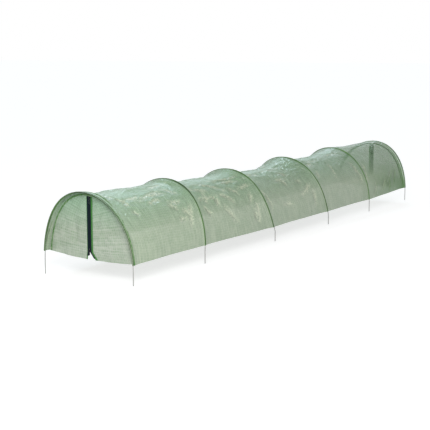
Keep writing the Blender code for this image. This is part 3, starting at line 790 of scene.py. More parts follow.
# %% The large creases
# Bay, start and end (place along the bay, share across), height and width in mm.
# Share 0.5 is the ridge and share 1 is the right hem.
CREASES = [
    (0, 0.02, 0.57, 0.14, 0.63, 3, 6), (0, 0.13, 0.63, 0.21, 0.68, 3, 6), (0, 0.2, 0.66, 0.44, 0.64, 4, 8),
    (0, 0.32, 0.69, 0.74, 0.62, 4, 9), (0, 0.3, 0.55, 0.95, 0.5, 5, 16), (0, 0.6, 0.57, 0.97, 0.53, 4, 8),
    (0, 0.19, 0.74, 0.25, 0.78, 2.5, 5), (0, 0.17, 0.71, 0.2, 0.66, 2.5, 6),
    (0, 0.02, 0.46, 0.95, 0.41, 4, 18),
    (0, 0.68, 0.73, 0.87, 0.74, 3, 6), (0, 0.67, 0.74, 0.79, 0.79, 3, 6), (0, 0.72, 0.84, 0.85, 0.85, 2.5, 6),
    (0, 0.95, 0.77, 0.87, 0.91, 3, 5), (0, 0.8, 0.59, 0.89, 0.69, 4, 8), (0, 0.82, 0.79, 0.9, 0.84, 2.5, 5),
    (0, 0.45, 0.72, 0.62, 0.7, 2.5, 7), (0, 0.5, 0.66, 0.78, 0.66, 3, 9),
    (1, 0.02, 0.76, 0.4, 0.76, 4, 7), (1, 0.22, 0.7, 0.17, 0.8, 3, 5), (1, 0.42, 0.74, 0.6, 0.83, 4, 6),
    (1, 0.4, 0.82, 0.52, 0.94, 4, 6), (1, 0.76, 0.74, 0.98, 0.72, 4, 8), (1, 0.93, 0.84, 0.84, 0.97, 4, 7),
    (1, 0.86, 0.88, 0.81, 0.96, 3, 5), (1, 0.32, 0.83, 0.37, 0.76, 3, 5), (1, 0.89, 0.77, 0.83, 0.85, 3, 5),
    (1, 0.5, 0.56, 0.97, 0.6, 5, 9), (1, 0.2, 0.6, 0.58, 0.74, 4, 9), (1, 0.02, 0.66, 0.3, 0.7, 4, 8),
    (1, 0.55, 0.63, 0.9, 0.66, 4, 9), (1, 0.02, 0.47, 0.98, 0.43, 5, 18), (1, 0.6, 0.7, 0.74, 0.78, 3, 6),
    (1, 0.08, 0.8, 0.2, 0.87, 2.5, 6),
    (2, 0.02, 0.62, 0.34, 0.61, 4, 8), (2, 0.38, 0.73, 0.58, 0.74, 3, 6), (2, 0.5, 0.72, 0.53, 0.8, 3, 6),
    (2, 0.66, 0.88, 0.92, 0.81, 4, 6), (2, 0.92, 0.85, 0.85, 0.96, 3, 6), (2, 0.58, 0.64, 0.68, 0.72, 3, 6),
    (2, 0.7, 0.5, 0.93, 0.56, 5, 10), (2, 0.65, 0.5, 0.96, 0.43, 5, 12), (2, 0.28, 0.9, 0.48, 0.92, 2.5, 8),
    (2, 0.02, 0.78, 0.08, 0.92, 3, 6), (2, 0.1, 0.66, 0.5, 0.64, 4, 10), (2, 0.4, 0.57, 0.8, 0.6, 4, 9),
    (2, 0.72, 0.76, 0.8, 0.8, 2.5, 5), (2, 0.02, 0.44, 0.96, 0.42, 5, 18),
    (3, 0.51, 0.66, 0.43, 0.83, 3, 5), (3, 0.14, 0.62, 0.48, 0.6, 4, 9), (3, 0.68, 0.55, 0.92, 0.59, 4, 9),
    (3, 0.02, 0.68, 0.25, 0.64, 3, 9), (3, 0.1, 0.48, 0.9, 0.45, 5, 16), (3, 0.9, 0.72, 0.96, 0.9, 2.5, 7),
    (3, 0.05, 0.8, 0.16, 0.74, 2.5, 7),
    (4, 0.1, 0.76, 0.03, 0.9, 3, 6), (4, 0.76, 0.85, 0.42, 0.97, 4, 9), (4, 0.5, 0.94, 0.8, 0.99, 4, 10),
    (4, 0.24, 0.91, 0.12, 1.0, 4, 9), (4, 0.86, 0.84, 0.7, 0.96, 3.5, 8), (4, 0.35, 0.98, 0.55, 0.9, 3.5, 9),
    (4, 0.02, 0.56, 0.95, 0.5, 2, 14), (4, 0.6, 0.88, 0.55, 0.99, 3, 8),
]


def far_side_creases(count, seed):
    """Creases for the side that the photo doesn't show, like those on the near side."""
    rng = np.random.default_rng(seed)
    made = []
    for bay in range(HOOPS - 1):
        for _ in range(count):
            f, s = rng.uniform(0.03, 0.9), rng.uniform(0.12, 0.42)
            df, ds = rng.uniform(0.05, 0.3), rng.uniform(-0.12, 0.12)
            made.append((bay, f, s, min(f + df, 0.98), s + ds, rng.uniform(2, 4), rng.uniform(7, 13)))
    return made


ALL_CREASES = CREASES + far_side_creases(8, 11)
print("creases", len(CREASES), "on the near side and", len(ALL_CREASES) - len(CREASES), "on the far side")

# %% [markdown]
# ## How a crease lifts and whitens the film
# A fold is a bulge along a line: highest on the line, fading to both sides and towards its ends.
# So a point only needs its distance to the line and how far along it lies. A slight bow keeps the
# folds from looking like sticks. The same distance also says how pale the film is painted there:
# partly stretched film, partly a painted highlight.

# %% How a crease lifts and whitens the film
CREASE_REACH = 20  # how far to each side a crease whitens the film, in mm
SHARP_CREASE = 10  # a crease as wide as this, in mm, or wider doesn't whiten it
CREASE_BOW = 0.06  # of its length
CREASE_POWER = 1.25


def from_crease(crease, place, width):
    """For one row: the share along a crease, and the distance from it in mm."""
    _, f0, s0, f1, s1, _, _ = crease
    start = np.array((f0 * width, s0 * ARC))
    run = np.array((f1 * width, s1 * ARC)) - start
    long = np.linalg.norm(run)
    run /= long
    off = np.stack([np.full_like(SHARES, place * width), SHARES * ARC], axis=1) - start
    t = off @ run / long
    bend = math.sin(37.0 * (f0 + s0))  # differs from crease to crease
    bow = CREASE_BOW * long * bend * 4 * t * (1 - t)
    away = off @ np.array((-run[1], run[0])) - np.where((t > 0) & (t < 1), bow, 0)
    return t, np.abs(away) / MM


def crease_height(bay, place, width):
    """Height of a bay's creases over one row of the film, and how much they whiten it."""
    total, pale = np.zeros_like(SHARES), np.zeros_like(SHARES)
    for crease in ALL_CREASES:
        if crease[0] != bay:
            continue
        height, spread = crease[5:]
        t, away = from_crease(crease, place, width)
        ends = smoothstep(-0.1, 0.4, t) * smoothstep(1.1, 0.6, t)
        total += height * MM * np.exp(-((away / spread) ** CREASE_POWER)) * ends
        if spread < SHARP_CREASE:
            pale = np.maximum(pale, np.clip(1 - away / CREASE_REACH, 0, 1) * ends)
    return total, pale


print("highest crease in the middle of bay 2", round(float(crease_height(1, 0.5, SPACING)[0].max()), 4))

# %% [markdown]
# ## Edges of a bay
# A bay is the film between two hoops. Beside a hoop the film is sewn to the casing, where it has
# already dropped a little below the crest of the wire. At the two ends of the tunnel the bay
# stops at the seam of the end panel instead, which draws the film in.

# %% Edges of a bay
SLEEVE = 12 * MM
CREST_DROP = 4.5 * MM
SEAM_SETBACK = 28 * MM
SEAM_DRAW = 3 * MM
FILM_MIDDLE = FILM_OUT - 0.4 * MM


def beside_drop(along):
    """How far the film has dropped below a hoop's crest, beside the wire."""
    return CREST_DROP * smoothstep(1.5 * MM, SLEEVE, np.abs(along))


def bay_edge(bay, after):
    """The film's fixed row at the start or the end of a bay."""
    hoop = bay + (1 if after else 0)
    side = -1 if after else 1
    if hoop in (0, HOOPS - 1):
        return near_wire(hoop, SHARES, side * SEAM_SETBACK, np.full_like(SHARES, -SEAM_DRAW))
    return near_wire(hoop, SHARES, side * SLEEVE, np.full_like(SHARES, -beside_drop(SLEEVE)))


print("first bay starts at", round(float(bay_edge(0, False)[0, 1]), 3))

# %% [markdown]
# ## Sag of a bay
# Cloth simulation could hang the film, but it would not put the folds where the photo has them,
# and it would run for minutes. So each row is worked out: a straight mix of the two edges, less
# the sag of its bay, plus waves and folds. The sag is flat in the middle and falls off beside
# the hoops, deepest on the ridge and least at the hems.

# %% Sag of a bay
SAGS = 38 * MM * np.array((0.47, 0.74, 1, 0.68, 0.04))
FLATNESS = (4.6, 5.0, 3.2, 3.0, 2.0)
HEM_SAG = 0.15
SOFT_WAVES, CRUMPLES, FINE_CRUMPLES = 2.2, 3.0, 1.8  # mm
CRUMPLE_MEAN = 1.5 * MM  # taken off again, because crumples mostly lift the film
TAPER = 0.05  # of the bay, in which the waves start and end


def hump(x, middle, width):
    """1 at the middle, and less to both sides of it."""
    return np.exp(-(((x - middle) / width) ** 2))


def unevenness(y, bay):
    """Soft waves, and crumples that are largest at the shoulders of the slackest bay."""
    shoulders = hump(np.abs(SHARES - 0.5), 0.14, 0.16)
    loose = (0.25 + 0.75 * shoulders) * (0.5 + 0.5 * SAGS[bay] / SAGS.max())
    soft = WIDE(y, HEM_TO_HEM) * SOFT_WAVES * MM
    crumple = (0.8 - np.abs(MIDDLE(y, HEM_TO_HEM))) * CRUMPLES * MM * loose
    crumple += (0.8 - np.abs(SMALL(y, HEM_TO_HEM))) * FINE_CRUMPLES * MM * loose
    return soft + crumple


def bay_row(bay, place):
    """One row of the film in a bay, and how much its creases whiten it."""
    start, end = bay_edge(bay, False), bay_edge(bay, True)
    out = unit(outward(bay, ANGLES) * (1 - place) + outward(bay + 1, ANGLES) * place)
    width = float(np.abs(end[:, 1] - start[:, 1]).mean())
    ridge = HEM_SAG + (1 - HEM_SAG) * np.sin(math.pi * SHARES) ** 2
    sag = SAGS[bay] * (1 - abs(2 * place - 1) ** FLATNESS[bay]) * ridge
    taper = float(smoothstep(0, TAPER, place) * smoothstep(1, 1 - TAPER, place))
    y = start[:, 1] * (1 - place) + end[:, 1] * place
    folds, pale = crease_height(bay, place, width)
    lift = FILM_MIDDLE - sag + taper * (unevenness(y, bay) + folds - CRUMPLE_MEAN)
    return start * (1 - place) + end * place + out * lift[:, None], pale


print("ridge in the middle of bay 3 at", round(float(bay_row(2, 0.5)[0][COLUMNS // 2, 2]), 3))

# %% [markdown]
# ## Rows over a hoop
# Over a hoop the film rises on the wire in a narrow crest and comes down on both sides. These
# rows lie only a millimetre or two apart, so that the crest stays round. The end hoops have a
# short free hem outside, and inside them the film runs in to the sewn seam, slightly puckered.

# %% Rows over a hoop
CREST_STEPS = (0, 1.2, 2.4, 3.4, 4.6, 6, 7.5, 9.5, 12)  # mm to each side of the wire
TOLERANCE = 1e-6
SEAM_ROWS = 4  # between the crest and the seam
PUCKER = 1.0 * MM


def seam_rows(hoop):
    """From an end hoop in to the sewn seam, which draws the film in."""
    side = 1 if hoop == 0 else -1
    rows = []
    for step in np.linspace(0, 1, SEAM_ROWS + 2)[1:-1]:
        along = SLEEVE + (SEAM_SETBACK - SLEEVE) * step
        pucker = MIDDLE(np.full_like(SHARES, hoop_place(hoop)), HEM_TO_HEM * 3) * PUCKER * step
        out = FILM_MIDDLE - SEAM_DRAW * float(smoothstep(0, 1, step)) + pucker
        rows.append(near_wire(hoop, SHARES, side * along, out))
    return rows


def hoop_rows(hoop):
    """The rows that pass over a hoop, in order along the tunnel."""
    front = END_HEM if hoop == 0 else SLEEVE
    back = END_HEM if hoop == HOOPS - 1 else SLEEVE
    rows = seam_rows(hoop)[::-1] if hoop == HOOPS - 1 else []
    for step in (*(-step for step in CREST_STEPS[:0:-1]), *CREST_STEPS):
        along = step * MM
        if -front - TOLERANCE <= along <= back + TOLERANCE:
            drop = 0.0 if hoop in (0, HOOPS - 1) else beside_drop(along)
            rows.append(near_wire(hoop, SHARES, along, np.full_like(SHARES, FILM_MIDDLE - drop)))
    return rows + (seam_rows(hoop) if hoop == 0 else [])


print("rows over an end hoop and a middle hoop", len(hoop_rows(0)), len(hoop_rows(1)))

# %% [markdown]
# ## The cover as one sheet
# The real cover is one length of film without a seam across, so it is one mesh: all rows over
# the hoops and through the bays, in order, joined to one grid. It stands for the plain roof of
# the model, which has the same sag but no creases, and rides on the body of the tunnel.

# %% The cover as one sheet
BAY_ROWS = 87


def cover_rows():
    rows, pale = [], []
    for hoop in range(HOOPS):
        over = hoop_rows(hoop)
        rows += over
        pale += [np.zeros_like(SHARES)] * len(over)
        if hoop < HOOPS - 1:
            places = np.linspace(0, 1, BAY_ROWS)
            places = places if hoop == 0 else places[1:]
            places = places if hoop == HOOPS - 2 else places[:-1]
            for place in places:
                row, whitened = bay_row(hoop, float(place))
                rows.append(row)
                pale.append(whitened)
    return np.array(rows), np.array(pale)


cover_grid, whitened = cover_rows()
cover = join_grids("cover_film", [(cover_grid, True)], FILM)
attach(cover, "tunnel")
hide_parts("roof_film")
print("cover film", cover_grid.shape[:2], "area", round(area_of(cover), 3))
print("triangles", 2 * len(cover.data.polygons))

# %% [markdown]
# ## Values that the cover carries
# The film finish asks each point how slack and how creased it is, and how much painted shade the
# sleeves give it. A mesh can carry such numbers as attributes. The slackness is highest at the
# shoulders of the middle bays, the crease values come from the rows above, and beside each hoop the
# film gets a painted darker green, where the sleeve shades it and partly shows through it.

# %% Values that the cover carries
SLACK_PLACES = (FIRST_HOOP, -0.9, -0.4, 0.2, 0.7, 1.2, -FIRST_HOOP)  # along the tunnel
SLACK_THERE = (0.5, 0.7, 1, 1, 0.6, 0.35, 0.6)
SLEEVE_SHADE = 15 * MM
NEAR_SHOULDER = 0.6  # share of the way round the arch


def slackness():
    """How loose the film is: most at the shoulders, least low on the walls."""
    shoulders = hump(np.abs(SHARES - 0.5), 0.17, 0.17)
    bays = np.interp(cover_grid[..., 1], SLACK_PLACES, SLACK_THERE)
    return (0.12 + 0.88 * shoulders)[None, :] * bays


def casing_shade():
    """How much painted shade the sleeve gives the film beside each hoop, most over the near shoulder."""
    shoulder = 0.15 + 0.85 * hump(SHARES, NEAR_SHOULDER, 0.13)
    total = np.zeros(cover_grid.shape[:2])
    for hoop in range(1, HOOPS - 1):
        crest = near_wire(hoop, SHARES, 0, np.zeros_like(SHARES))[:, 1]
        beside = hump(cover_grid[..., 1], crest, SLEEVE_SHADE)
        total = np.maximum(total, beside * shoulder * 0.8)
    return total


for name, values in (("slack", slackness()), ("crease", whitened), ("sleeve_shade_and_showthrough", casing_shade())):
    attribute = cover.data.attributes.new(name, "FLOAT", "POINT")
    attribute.data.foreach_set("value", values.astype(np.float32).ravel())
    print(name, "from", round(float(values.min()), 2), "to", round(float(values.max()), 2))

# %% [markdown]
# ## Helpers for Geometry Nodes
# Hoops, stitches and zip teeth all follow a line. Geometry Nodes suit this: you draw the line as
# a curve, and a node group sweeps or strews something along it. The helpers make such a group,
# draw the lines, and keep the result as a plain mesh, because a model for export has no nodes.

# %% Helpers for Geometry Nodes
SOCKETS = {"Sides": "Int", "Seed": "Int", "Size": "Vector", "Material": "Material"}


def along_path_group(name, inputs):
    """A geometry group with named inputs. A value of None leaves an input unset."""
    group = bpy.data.node_groups.new(name, "GeometryNodeTree")
    group.interface.new_socket("Geometry", in_out="INPUT", socket_type="NodeSocketGeometry")
    for socket, value in inputs.items():
        kind = "NodeSocket" + SOCKETS.get(socket, "Float")
        made = group.interface.new_socket(socket, in_out="INPUT", socket_type=kind)
        if value is not None:
            made.default_value = value
    group.interface.new_socket("Geometry", in_out="OUTPUT", socket_type="NodeSocketGeometry")
    inside = group.nodes.new("NodeGroupInput").outputs
    outside = group.nodes.new("NodeGroupOutput").inputs
    return group, inside, outside


def end_group(group, shape, material, outside):
    """Every group ends in plain, smooth geometry with its material."""
    smooth = put(group, "GeometryNodeSetShadeSmooth", {"Geometry": shape})
    real = put(group, "GeometryNodeRealizeInstances", {"Geometry": smooth.outputs[0]})
    finish = put(group, "GeometryNodeSetMaterial", {"Geometry": real.outputs[0], "Material": material})
    group.links.new(finish.outputs[0], outside[0])


def path_object(name, paths):
    """A curve object with one poly spline for each path."""
    curve = bpy.data.curves.new(name, "CURVE")
    curve.dimensions = "3D"
    for path in paths:
        spline = curve.splines.new("POLY")
        spline.points.add(len(path) - 1)
        for point, place in zip(spline.points, path):
            point.co = (*place, 1)
    made = bpy.data.objects.new(name, curve)
    bpy.context.scene.collection.objects.link(made)
    return made


def along_paths(name, paths, group, **values):
    """Runs a Geometry Nodes group on paths and keeps the result as one mesh."""
    source = path_object(f"{name}_path", paths)
    modifier = source.modifiers.new("nodes", "NODES")
    modifier.node_group = group
    for item in group.interface.items_tree:
        if item.in_out == "INPUT" and item.name in values:
            modifier[item.identifier] = values[item.name]
    bpy.context.view_layer.update()
    graph = bpy.context.evaluated_depsgraph_get()
    mesh = bpy.data.meshes.new_from_object(source.evaluated_get(graph), depsgraph=graph)
    mesh.name = name
    made = bpy.data.objects.new(name, mesh)
    bpy.context.scene.collection.objects.link(made)
    bpy.data.objects.remove(source, do_unlink=True)
    return made


print("inputs that aren't plain numbers", sorted(SOCKETS))

# %% [markdown]
# ## Rod along a path
# A wire hoop is a circle swept along a bent line. The Curve to Mesh node does exactly that, and
# Fill Caps closes both tips. Its inputs are the radius of the wire and the number of its sides.

# %% Rod along a path
def rod_group():
    inputs = {"Radius": 0.002, "Sides": 16, "Material": None}
    group, inside, outside = along_path_group("Hoop rod", inputs)
    links = {"Resolution": inside["Sides"], "Radius": inside["Radius"]}
    ring = put(group, "GeometryNodeCurvePrimitiveCircle", links)
    links = {"Curve": inside["Geometry"], "Profile Curve": ring.outputs[0], "Fill Caps": True}
    rod = put(group, "GeometryNodeCurveToMesh", links)
    end_group(group, rod.outputs[0], inside["Material"], outside)
    return group


ROD = rod_group()
print("group", ROD.name, "with", len(ROD.nodes), "nodes")

# %% [markdown]
# ## Stitches and teeth along a path
# A seam is a row of short stitches, and a zip is a row of small teeth. Both are one small rounded
# bead repeated at an even spacing, stretched to the size of a stitch or a tooth. Each is turned
# a little at random, from a fixed seed, because sewing and teeth are never perfectly straight.

# %% Stitches and teeth along a path
BEAD_TURN = 0.08  # radians at most, round each axis


def beads_group():
    inputs = {"Spacing": 0.005, "Size": (0.0005, 0.0005, 0.003), "Seed": 1, "Material": None}
    group, inside, outside = along_path_group("Stitches along a seam", inputs)
    points = put(group, "GeometryNodeCurveToPoints", {"Curve": inside["Geometry"]}, mode="LENGTH")
    group.links.new(inside["Spacing"], points.inputs["Length"])
    jitter = put(group, "FunctionNodeRandomValue", {"Seed": inside["Seed"]}, data_type="FLOAT_VECTOR")
    jitter.inputs[0].default_value = (-BEAD_TURN, -BEAD_TURN, -BEAD_TURN)
    jitter.inputs[1].default_value = (BEAD_TURN, BEAD_TURN, BEAD_TURN)
    spin = put(group, "FunctionNodeEulerToRotation", {0: jitter.outputs[0]})
    links = {0: points.outputs["Rotation"], 1: spin.outputs[0]}
    turned = put(group, "FunctionNodeRotateRotation", links, rotation_space="LOCAL")
    bead = put(group, "GeometryNodeMeshIcoSphere", {"Radius": 0.5, "Subdivisions": 1})
    links = {"Points": points.outputs[0], "Instance": bead.outputs[0]}
    placed = put(group, "GeometryNodeInstanceOnPoints", links)
    group.links.new(turned.outputs[0], placed.inputs["Rotation"])
    group.links.new(inside["Size"], placed.inputs["Scale"])
    end_group(group, placed.outputs[0], inside["Material"], outside)
    return group


BEADS = beads_group()
STITCH = {"Spacing": 4.5 * MM, "Size": (0.5 * MM, 0.4 * MM, 3.2 * MM), "Material": THREAD}
print("group", BEADS.name, "with", len(BEADS.nodes), "nodes")

# %% [markdown]
# ## Hoops
# Each hoop is a single length of coated spring wire, from one tip in the soil over the arch to
# the other tip. The path has few points on the straight legs and many round the arch. The swept
# rod then stands for the plain hoop of the model, and has exactly its place.

# %% Hoops
WIRE_POINTS = 121  # round the arch, above the hem


def hoop_path(hoop):
    low = np.linspace(0, HEM_ANGLE, 6)[1:-1]
    angles = np.concatenate([low, to_angle(np.linspace(0, 1, WIRE_POINTS)), math.pi - low[::-1]])
    arch = wire(hoop, angles)
    y = hoop_place(hoop)
    legs = [[(side * HALF_SPAN, y, z) for z in np.linspace(0, SPRINGING, 8)] for side in (-1, 1)]
    return [*legs[0], *arch, *legs[1][::-1]]


for hoop in range(HOOPS):
    name = f"wire_hoop_{hoop + 1}"
    piece = along_paths(name, [hoop_path(hoop)], ROD, Radius=WIRE_RADIUS, Sides=16, Material=WIRE)
    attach(piece, "tunnel")
    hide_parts(f"hoop_{hoop + 1}")
print("hoops", HOOPS, "faces each", len(piece.data.polygons))

# %% [markdown]
# ## Strips along a hoop
# A tape sewn along a hoop has the same cross-section all the way. So a strip is given by its
# profile, a list of points in millimetres beside the wire, and every profile point becomes one
# row of the grid. A curved profile gives a tape its thickness and its soft edges.

# %% Strips along a hoop
STRIP_SHARES = np.linspace(0, 1, 141)


def strip_line(hoop, along, out):
    """Points all the way round a hoop, at one place of a profile in mm."""
    return near_wire(hoop, STRIP_SHARES, along * MM, np.full_like(STRIP_SHARES, out * MM))


def strip_grid(hoop, profile):
    """A strip along a hoop, from a profile of (along, out) points in mm."""
    return np.array([strip_line(hoop, along, out) for along, out in profile])


def stitch_rows(name, hoop, places, seed):
    """Rows of stitches along a hoop, at (along, out) places in mm."""
    paths = [strip_line(hoop, along, out) for along, out in places]
    piece = along_paths(name, paths, BEADS, Seed=seed, **STITCH)
    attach(piece, "tunnel")
    return len(piece.data.polygons)


half_length = grid_uvs(strip_grid(1, [(0, 0), (1, 0)]))[0, -1, 0]
print("length of a strip", round(float(half_length * 2), 3))

# %% [markdown]
# ## Sleeves
# The wire runs in a sleeve: a casing tape on top of the film and a channel tape under the wire,
# sewn together on both sides. The casing bulges over the wire and is wider on the near shoulder,
# where it is the dark line that you see across the cover. On the end hoops it is narrow.

# %% Sleeves
CHANNEL = [  # along and out, in mm
    (-4.4, 1.2), (-3.4, 0.2), (-2.8, -1.4), (-1.4, -2.6),
    (1.4, -2.6), (2.8, -1.4), (3.4, 0.2), (4.4, 1.2),
]
CASING_STEPS = (-1, -0.85, -0.5, -0.22, 0, 0.22, 0.5, 0.85, 1)
CASING_HALF = 4.8 * MM
CASING_SHOULDER = 3.4 * MM  # added to it on the near shoulder
CASING_HALF_AT_END = 2.5 * MM
STITCHES_AT = (3.4, 2.85)  # along and out, in mm
STITCHES_AT_END = (1.8, 3.2)


def casing_grid(hoop):
    """The outer casing tape: it bulges over the wire and widens on the near shoulder."""
    at_end = hoop in (0, HOOPS - 1)
    wide = CASING_HALF + CASING_SHOULDER * hump(STRIP_SHARES, NEAR_SHOULDER, 0.09)
    half = np.full_like(STRIP_SHARES, CASING_HALF_AT_END) if at_end else wide
    rows = []
    for step in CASING_STEPS:
        drop = 0 if at_end else beside_drop(step * half)
        bulge = (0.05 + 0.8 * (1 - step**2)) * MM
        rows.append(near_wire(hoop, STRIP_SHARES, step * half, FILM_OUT - drop + bulge))
    return np.array(rows)


for hoop in range(HOOPS):
    tapes = [(casing_grid(hoop), True), (strip_grid(hoop, CHANNEL), False)]
    sleeve = join_grids(f"sleeve_{hoop + 1}", tapes, CASING)
    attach(sleeve, "tunnel")
    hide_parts(f"hoop_sleeve_{hoop + 1}")
    along, out = STITCHES_AT_END if hoop in (0, HOOPS - 1) else STITCHES_AT
    faces = stitch_rows(f"sleeve_stitches_{hoop + 1}", hoop, [(-along, out), (along, out)], hoop)
print("sleeves", HOOPS, "stitch faces each", faces)

# %% [markdown]
# ## Where things are on an end panel
# An end panel is flat, so everything on it is easiest to place by two numbers: how far to the
# right it is as seen from outside, and how high. A third one, the depth, goes in to the tunnel.
# The back end is the front end turned half round, so one set of sizes serves both.

# %% Where things are on an end panel
ENDS = {"front": 1, "back": -1}
HANDS = {"left": -1, "right": 1}
PANEL_PLACE = -FIRST_HOOP - SEAM_SETBACK
PANEL_EDGE = -7 * MM
PANEL_BOW = 6 * MM
ARCH_POINTS = 241


def in_place(end, u, depth, z):
    turn = ENDS[end]
    u, depth, z = np.broadcast_arrays(u, depth, z)
    return np.stack([turn * u, turn * (depth - PANEL_PLACE), z], axis=-1)


def panel_arch(end, edge=PANEL_EDGE, droops=0.0):
    """The panel's arched edge as (u, z), from its left hem to its right."""
    hoop = 0 if end == "front" else HOOPS - 1
    shares = np.linspace(0, 1, ARCH_POINTS)
    points = near_wire(hoop, shares, 0, np.full_like(shares, edge), droops)
    points = np.stack([ENDS[end] * points[:, 0], points[:, 2]], axis=1)
    return points[np.argsort(points[:, 0])]


print("panels at", [round(-turn * PANEL_PLACE, 4) for turn in ENDS.values()])

# %% [markdown]
# ## Hem and zip line
# The hem of a panel bows down a little from foot to foot, because the film hangs in its own
# weight. The zip runs just left of the middle, and at the hem its two edges part in a small V.
# The slider has not been pulled all the way down there, so the right edge falls open.

# %% Hem and zip line
ZIP_U = -12 * MM
ZIP_HALF = 6 * MM
SPLIT_HEIGHT = 33 * MM
SPLIT_FOOT = HEM - PANEL_BOW
SPLIT_TOP = SPLIT_FOOT + SPLIT_HEIGHT
SPLITS = {"left": -5 * MM, "right": 25 * MM}


def hem_height(arch, u):
    """The hem runs from foot to foot of the arch, and bows down to the foot of the zip."""
    half = (arch[-1, 0] - arch[0, 0]) / 2
    middle = (arch[-1, 0] + arch[0, 0]) / 2
    line = np.interp(u, arch[[0, -1], 0], arch[[0, -1], 1])
    bow = np.interp(middle, arch[[0, -1], 0], arch[[0, -1], 1]) - SPLIT_FOOT
    return line - bow * (1 - ((u - middle) / half) ** 2)


def zip_edge(side, z, reach=ZIP_HALF):
    """How far out an edge beside the zip is at a height, with the V that opens at the hem."""
    shift = SPLITS[side] * np.clip(SPLIT_TOP - z, 0, None) / SPLIT_HEIGHT
    return ZIP_U + HANDS[side] * reach + shift


print("zip from", round(SPLIT_FOOT, 3), "and V up to", round(SPLIT_TOP, 3))

# %% [markdown]
# ## The fold of a door
# Each half of a panel opens as a door: it folds on a slanting line from the head of the zip to
# the foot of the arch, and the part beside the zip swings out. Here the script only works out the
# fold line and a narrow band beside it; the pieces are not bent, and each keeps its place.

# %% The fold of a door
FOLD_TOP_DROP = 38 * MM
FOLD_FOOT_INSET = 40 * MM
FOLD_BAND = (3.5 * MM, 14.5 * MM)
FOLD_DEPTH = -1.3 * MM


def fold_line(end, side):
    """Foot and top of the fold, as (u, z)."""
    arch = panel_arch(end)
    foot_u = arch[0 if side == "left" else -1, 0] - HANDS[side] * FOLD_FOOT_INSET
    top_u = ZIP_U + HANDS[side] * ZIP_HALF
    top_z = np.interp(top_u, arch[:, 0], arch[:, 1]) - FOLD_TOP_DROP
    return np.array((foot_u, hem_height(arch, foot_u))), np.array((top_u, top_z))


def bend_on_fold(piece, end, side):
    """Works out the band beside the fold, and only bakes the piece's transform: it doesn't bend it."""
    foot, top = fold_line(end, side)
    run = (top - foot) / np.linalg.norm(top - foot)
    to_zip = np.array((run[1], -run[0])) * -HANDS[side]
    middle = (foot + top) / 2
    edges = [middle + to_zip * reach for reach in FOLD_BAND]
    start, stop = (in_place(end, u, FOLD_DEPTH, z) for u, z in edges)
    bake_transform(piece)


print("foot and top of a fold", *np.round(fold_line("front", "left"), 3))

# %% [markdown]
# ## Film of the end panels
# Each half of a panel is one sheet between the zip, the hem and the seam. Its rows fan out from
# the zip to the seam, so that the mesh follows both edges. It is held on three sides, so it only
# waves softly in between, and the depth of the waves fades to nothing at each of the three.

# %% Film of the end panels
PANEL_ROWS = 61
PANEL_COLUMNS = 49
FILM_EDGE = -1.5 * MM  # where the panel's film ends, out from the wire's middle
PANEL_WAVE, PANEL_CRUMPLE = 1.5, 0.7  # mm
PANEL_WAVES = [Waves(20 + 7 * k, 0.1) for k in range(4)]
PANEL_FINE = Waves(40, 0.04)


def panel_seam(arch, side):
    """Points along the seam, from the hem to the head of the zip."""
    top_u = ZIP_U + HANDS[side] * ZIP_HALF
    outer = arch[arch[:, 0] < top_u] if side == "left" else arch[arch[:, 0] > top_u][::-1]
    outer = np.concatenate([outer, [(top_u, np.interp(top_u, arch[:, 0], arch[:, 1]))]])
    run = np.pad(np.cumsum(np.linalg.norm(np.diff(outer, axis=0), axis=1)), (1, 0))
    places = np.linspace(0, run[-1], PANEL_ROWS)
    return np.stack([np.interp(places, run, outer[:, k]) for k in (0, 1)], axis=1)


def panel_grid(end, side, waves):
    """Rows fan out from the zip to the seam."""
    arch = panel_arch(end, FILM_EDGE, 1.0)
    seam = panel_seam(arch, side)
    t = np.linspace(0, 1, PANEL_ROWS)
    foot = hem_height(arch, zip_edge(side, SPLIT_FOOT))
    zip_z = foot + (seam[-1, 1] - foot) * t ** 0.9
    inner = np.stack([zip_edge(side, zip_z), zip_z], axis=1)
    w = np.linspace(0, 1, PANEL_COLUMNS)[None, :, None]
    flat = inner[:, None] * (1 - w) + seam[:, None] * w
    bow = hem_height(arch, flat[0, :, 0]) - flat[0, :, 1]
    flat[..., 1] += bow[None, :] * ((1 - t) ** 4)[:, None]
    u, z = flat[..., 0], flat[..., 1]
    pin = smoothstep(0, 0.25, w[..., 0]) * smoothstep(1, 0.85, w[..., 0]) * smoothstep(1, 0.9, t)[:, None]
    crumple = (0.8 - np.abs(PANEL_FINE(u, z))) * PANEL_CRUMPLE
    depth = (waves(u * 1.6, z * 0.8) * PANEL_WAVE + crumple) * MM * pin
    return in_place(end, u, depth, z)


PANELS = [(end, side) for end in ENDS for side in HANDS]
for waves, (end, side) in zip(PANEL_WAVES, PANELS):
    name = f"{end}_{side}"
    panel = join_grids(f"{name}_panel", [(panel_grid(end, side, waves), side == "left")], PANEL_FILM)
    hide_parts(f"{name}_cheek", f"{name}_flap")
    bend_on_fold(panel, end, side)
print("panels", len(PANELS), "faces each", len(panel.data.polygons))

# %% [markdown]
# ## Seam bindings
# A green binding covers the seam between a panel and the roof. One strip lies on the face of the
# panel, and one on the roof above it. The roof strip isn't sewn on evenly: at the front it drifts
# towards the hoop down both sides, and on the right it is bunched to a wide, ragged band there.

# %% Seam bindings
BINDING = 10 * MM
FACE_PROFILE = [(27.4, -8.6), (26.8, -8.8), (26.4, -12), (26.8, -15.4), (27.4, -15.6)]
FACE_STITCHES = [(26.4, -9.8), (26.4, -14.4)]
ROOF_PROFILE = [(31.5, 0.15), (31.2, 0.75), (27.5, 1.0), (23.4, 0.75), (23.0, 0.15)]
DRIFT_BY = 19  # mm
DRIFT = np.maximum(smoothstep(0.3, 0.5, np.abs(STRIP_SHARES - 0.5)), smoothstep(0.56, 0.72, STRIP_SHARES))
BUNCHED = smoothstep(0.54, 0.64, STRIP_SHARES) * smoothstep(0.92, 0.78, STRIP_SHARES)


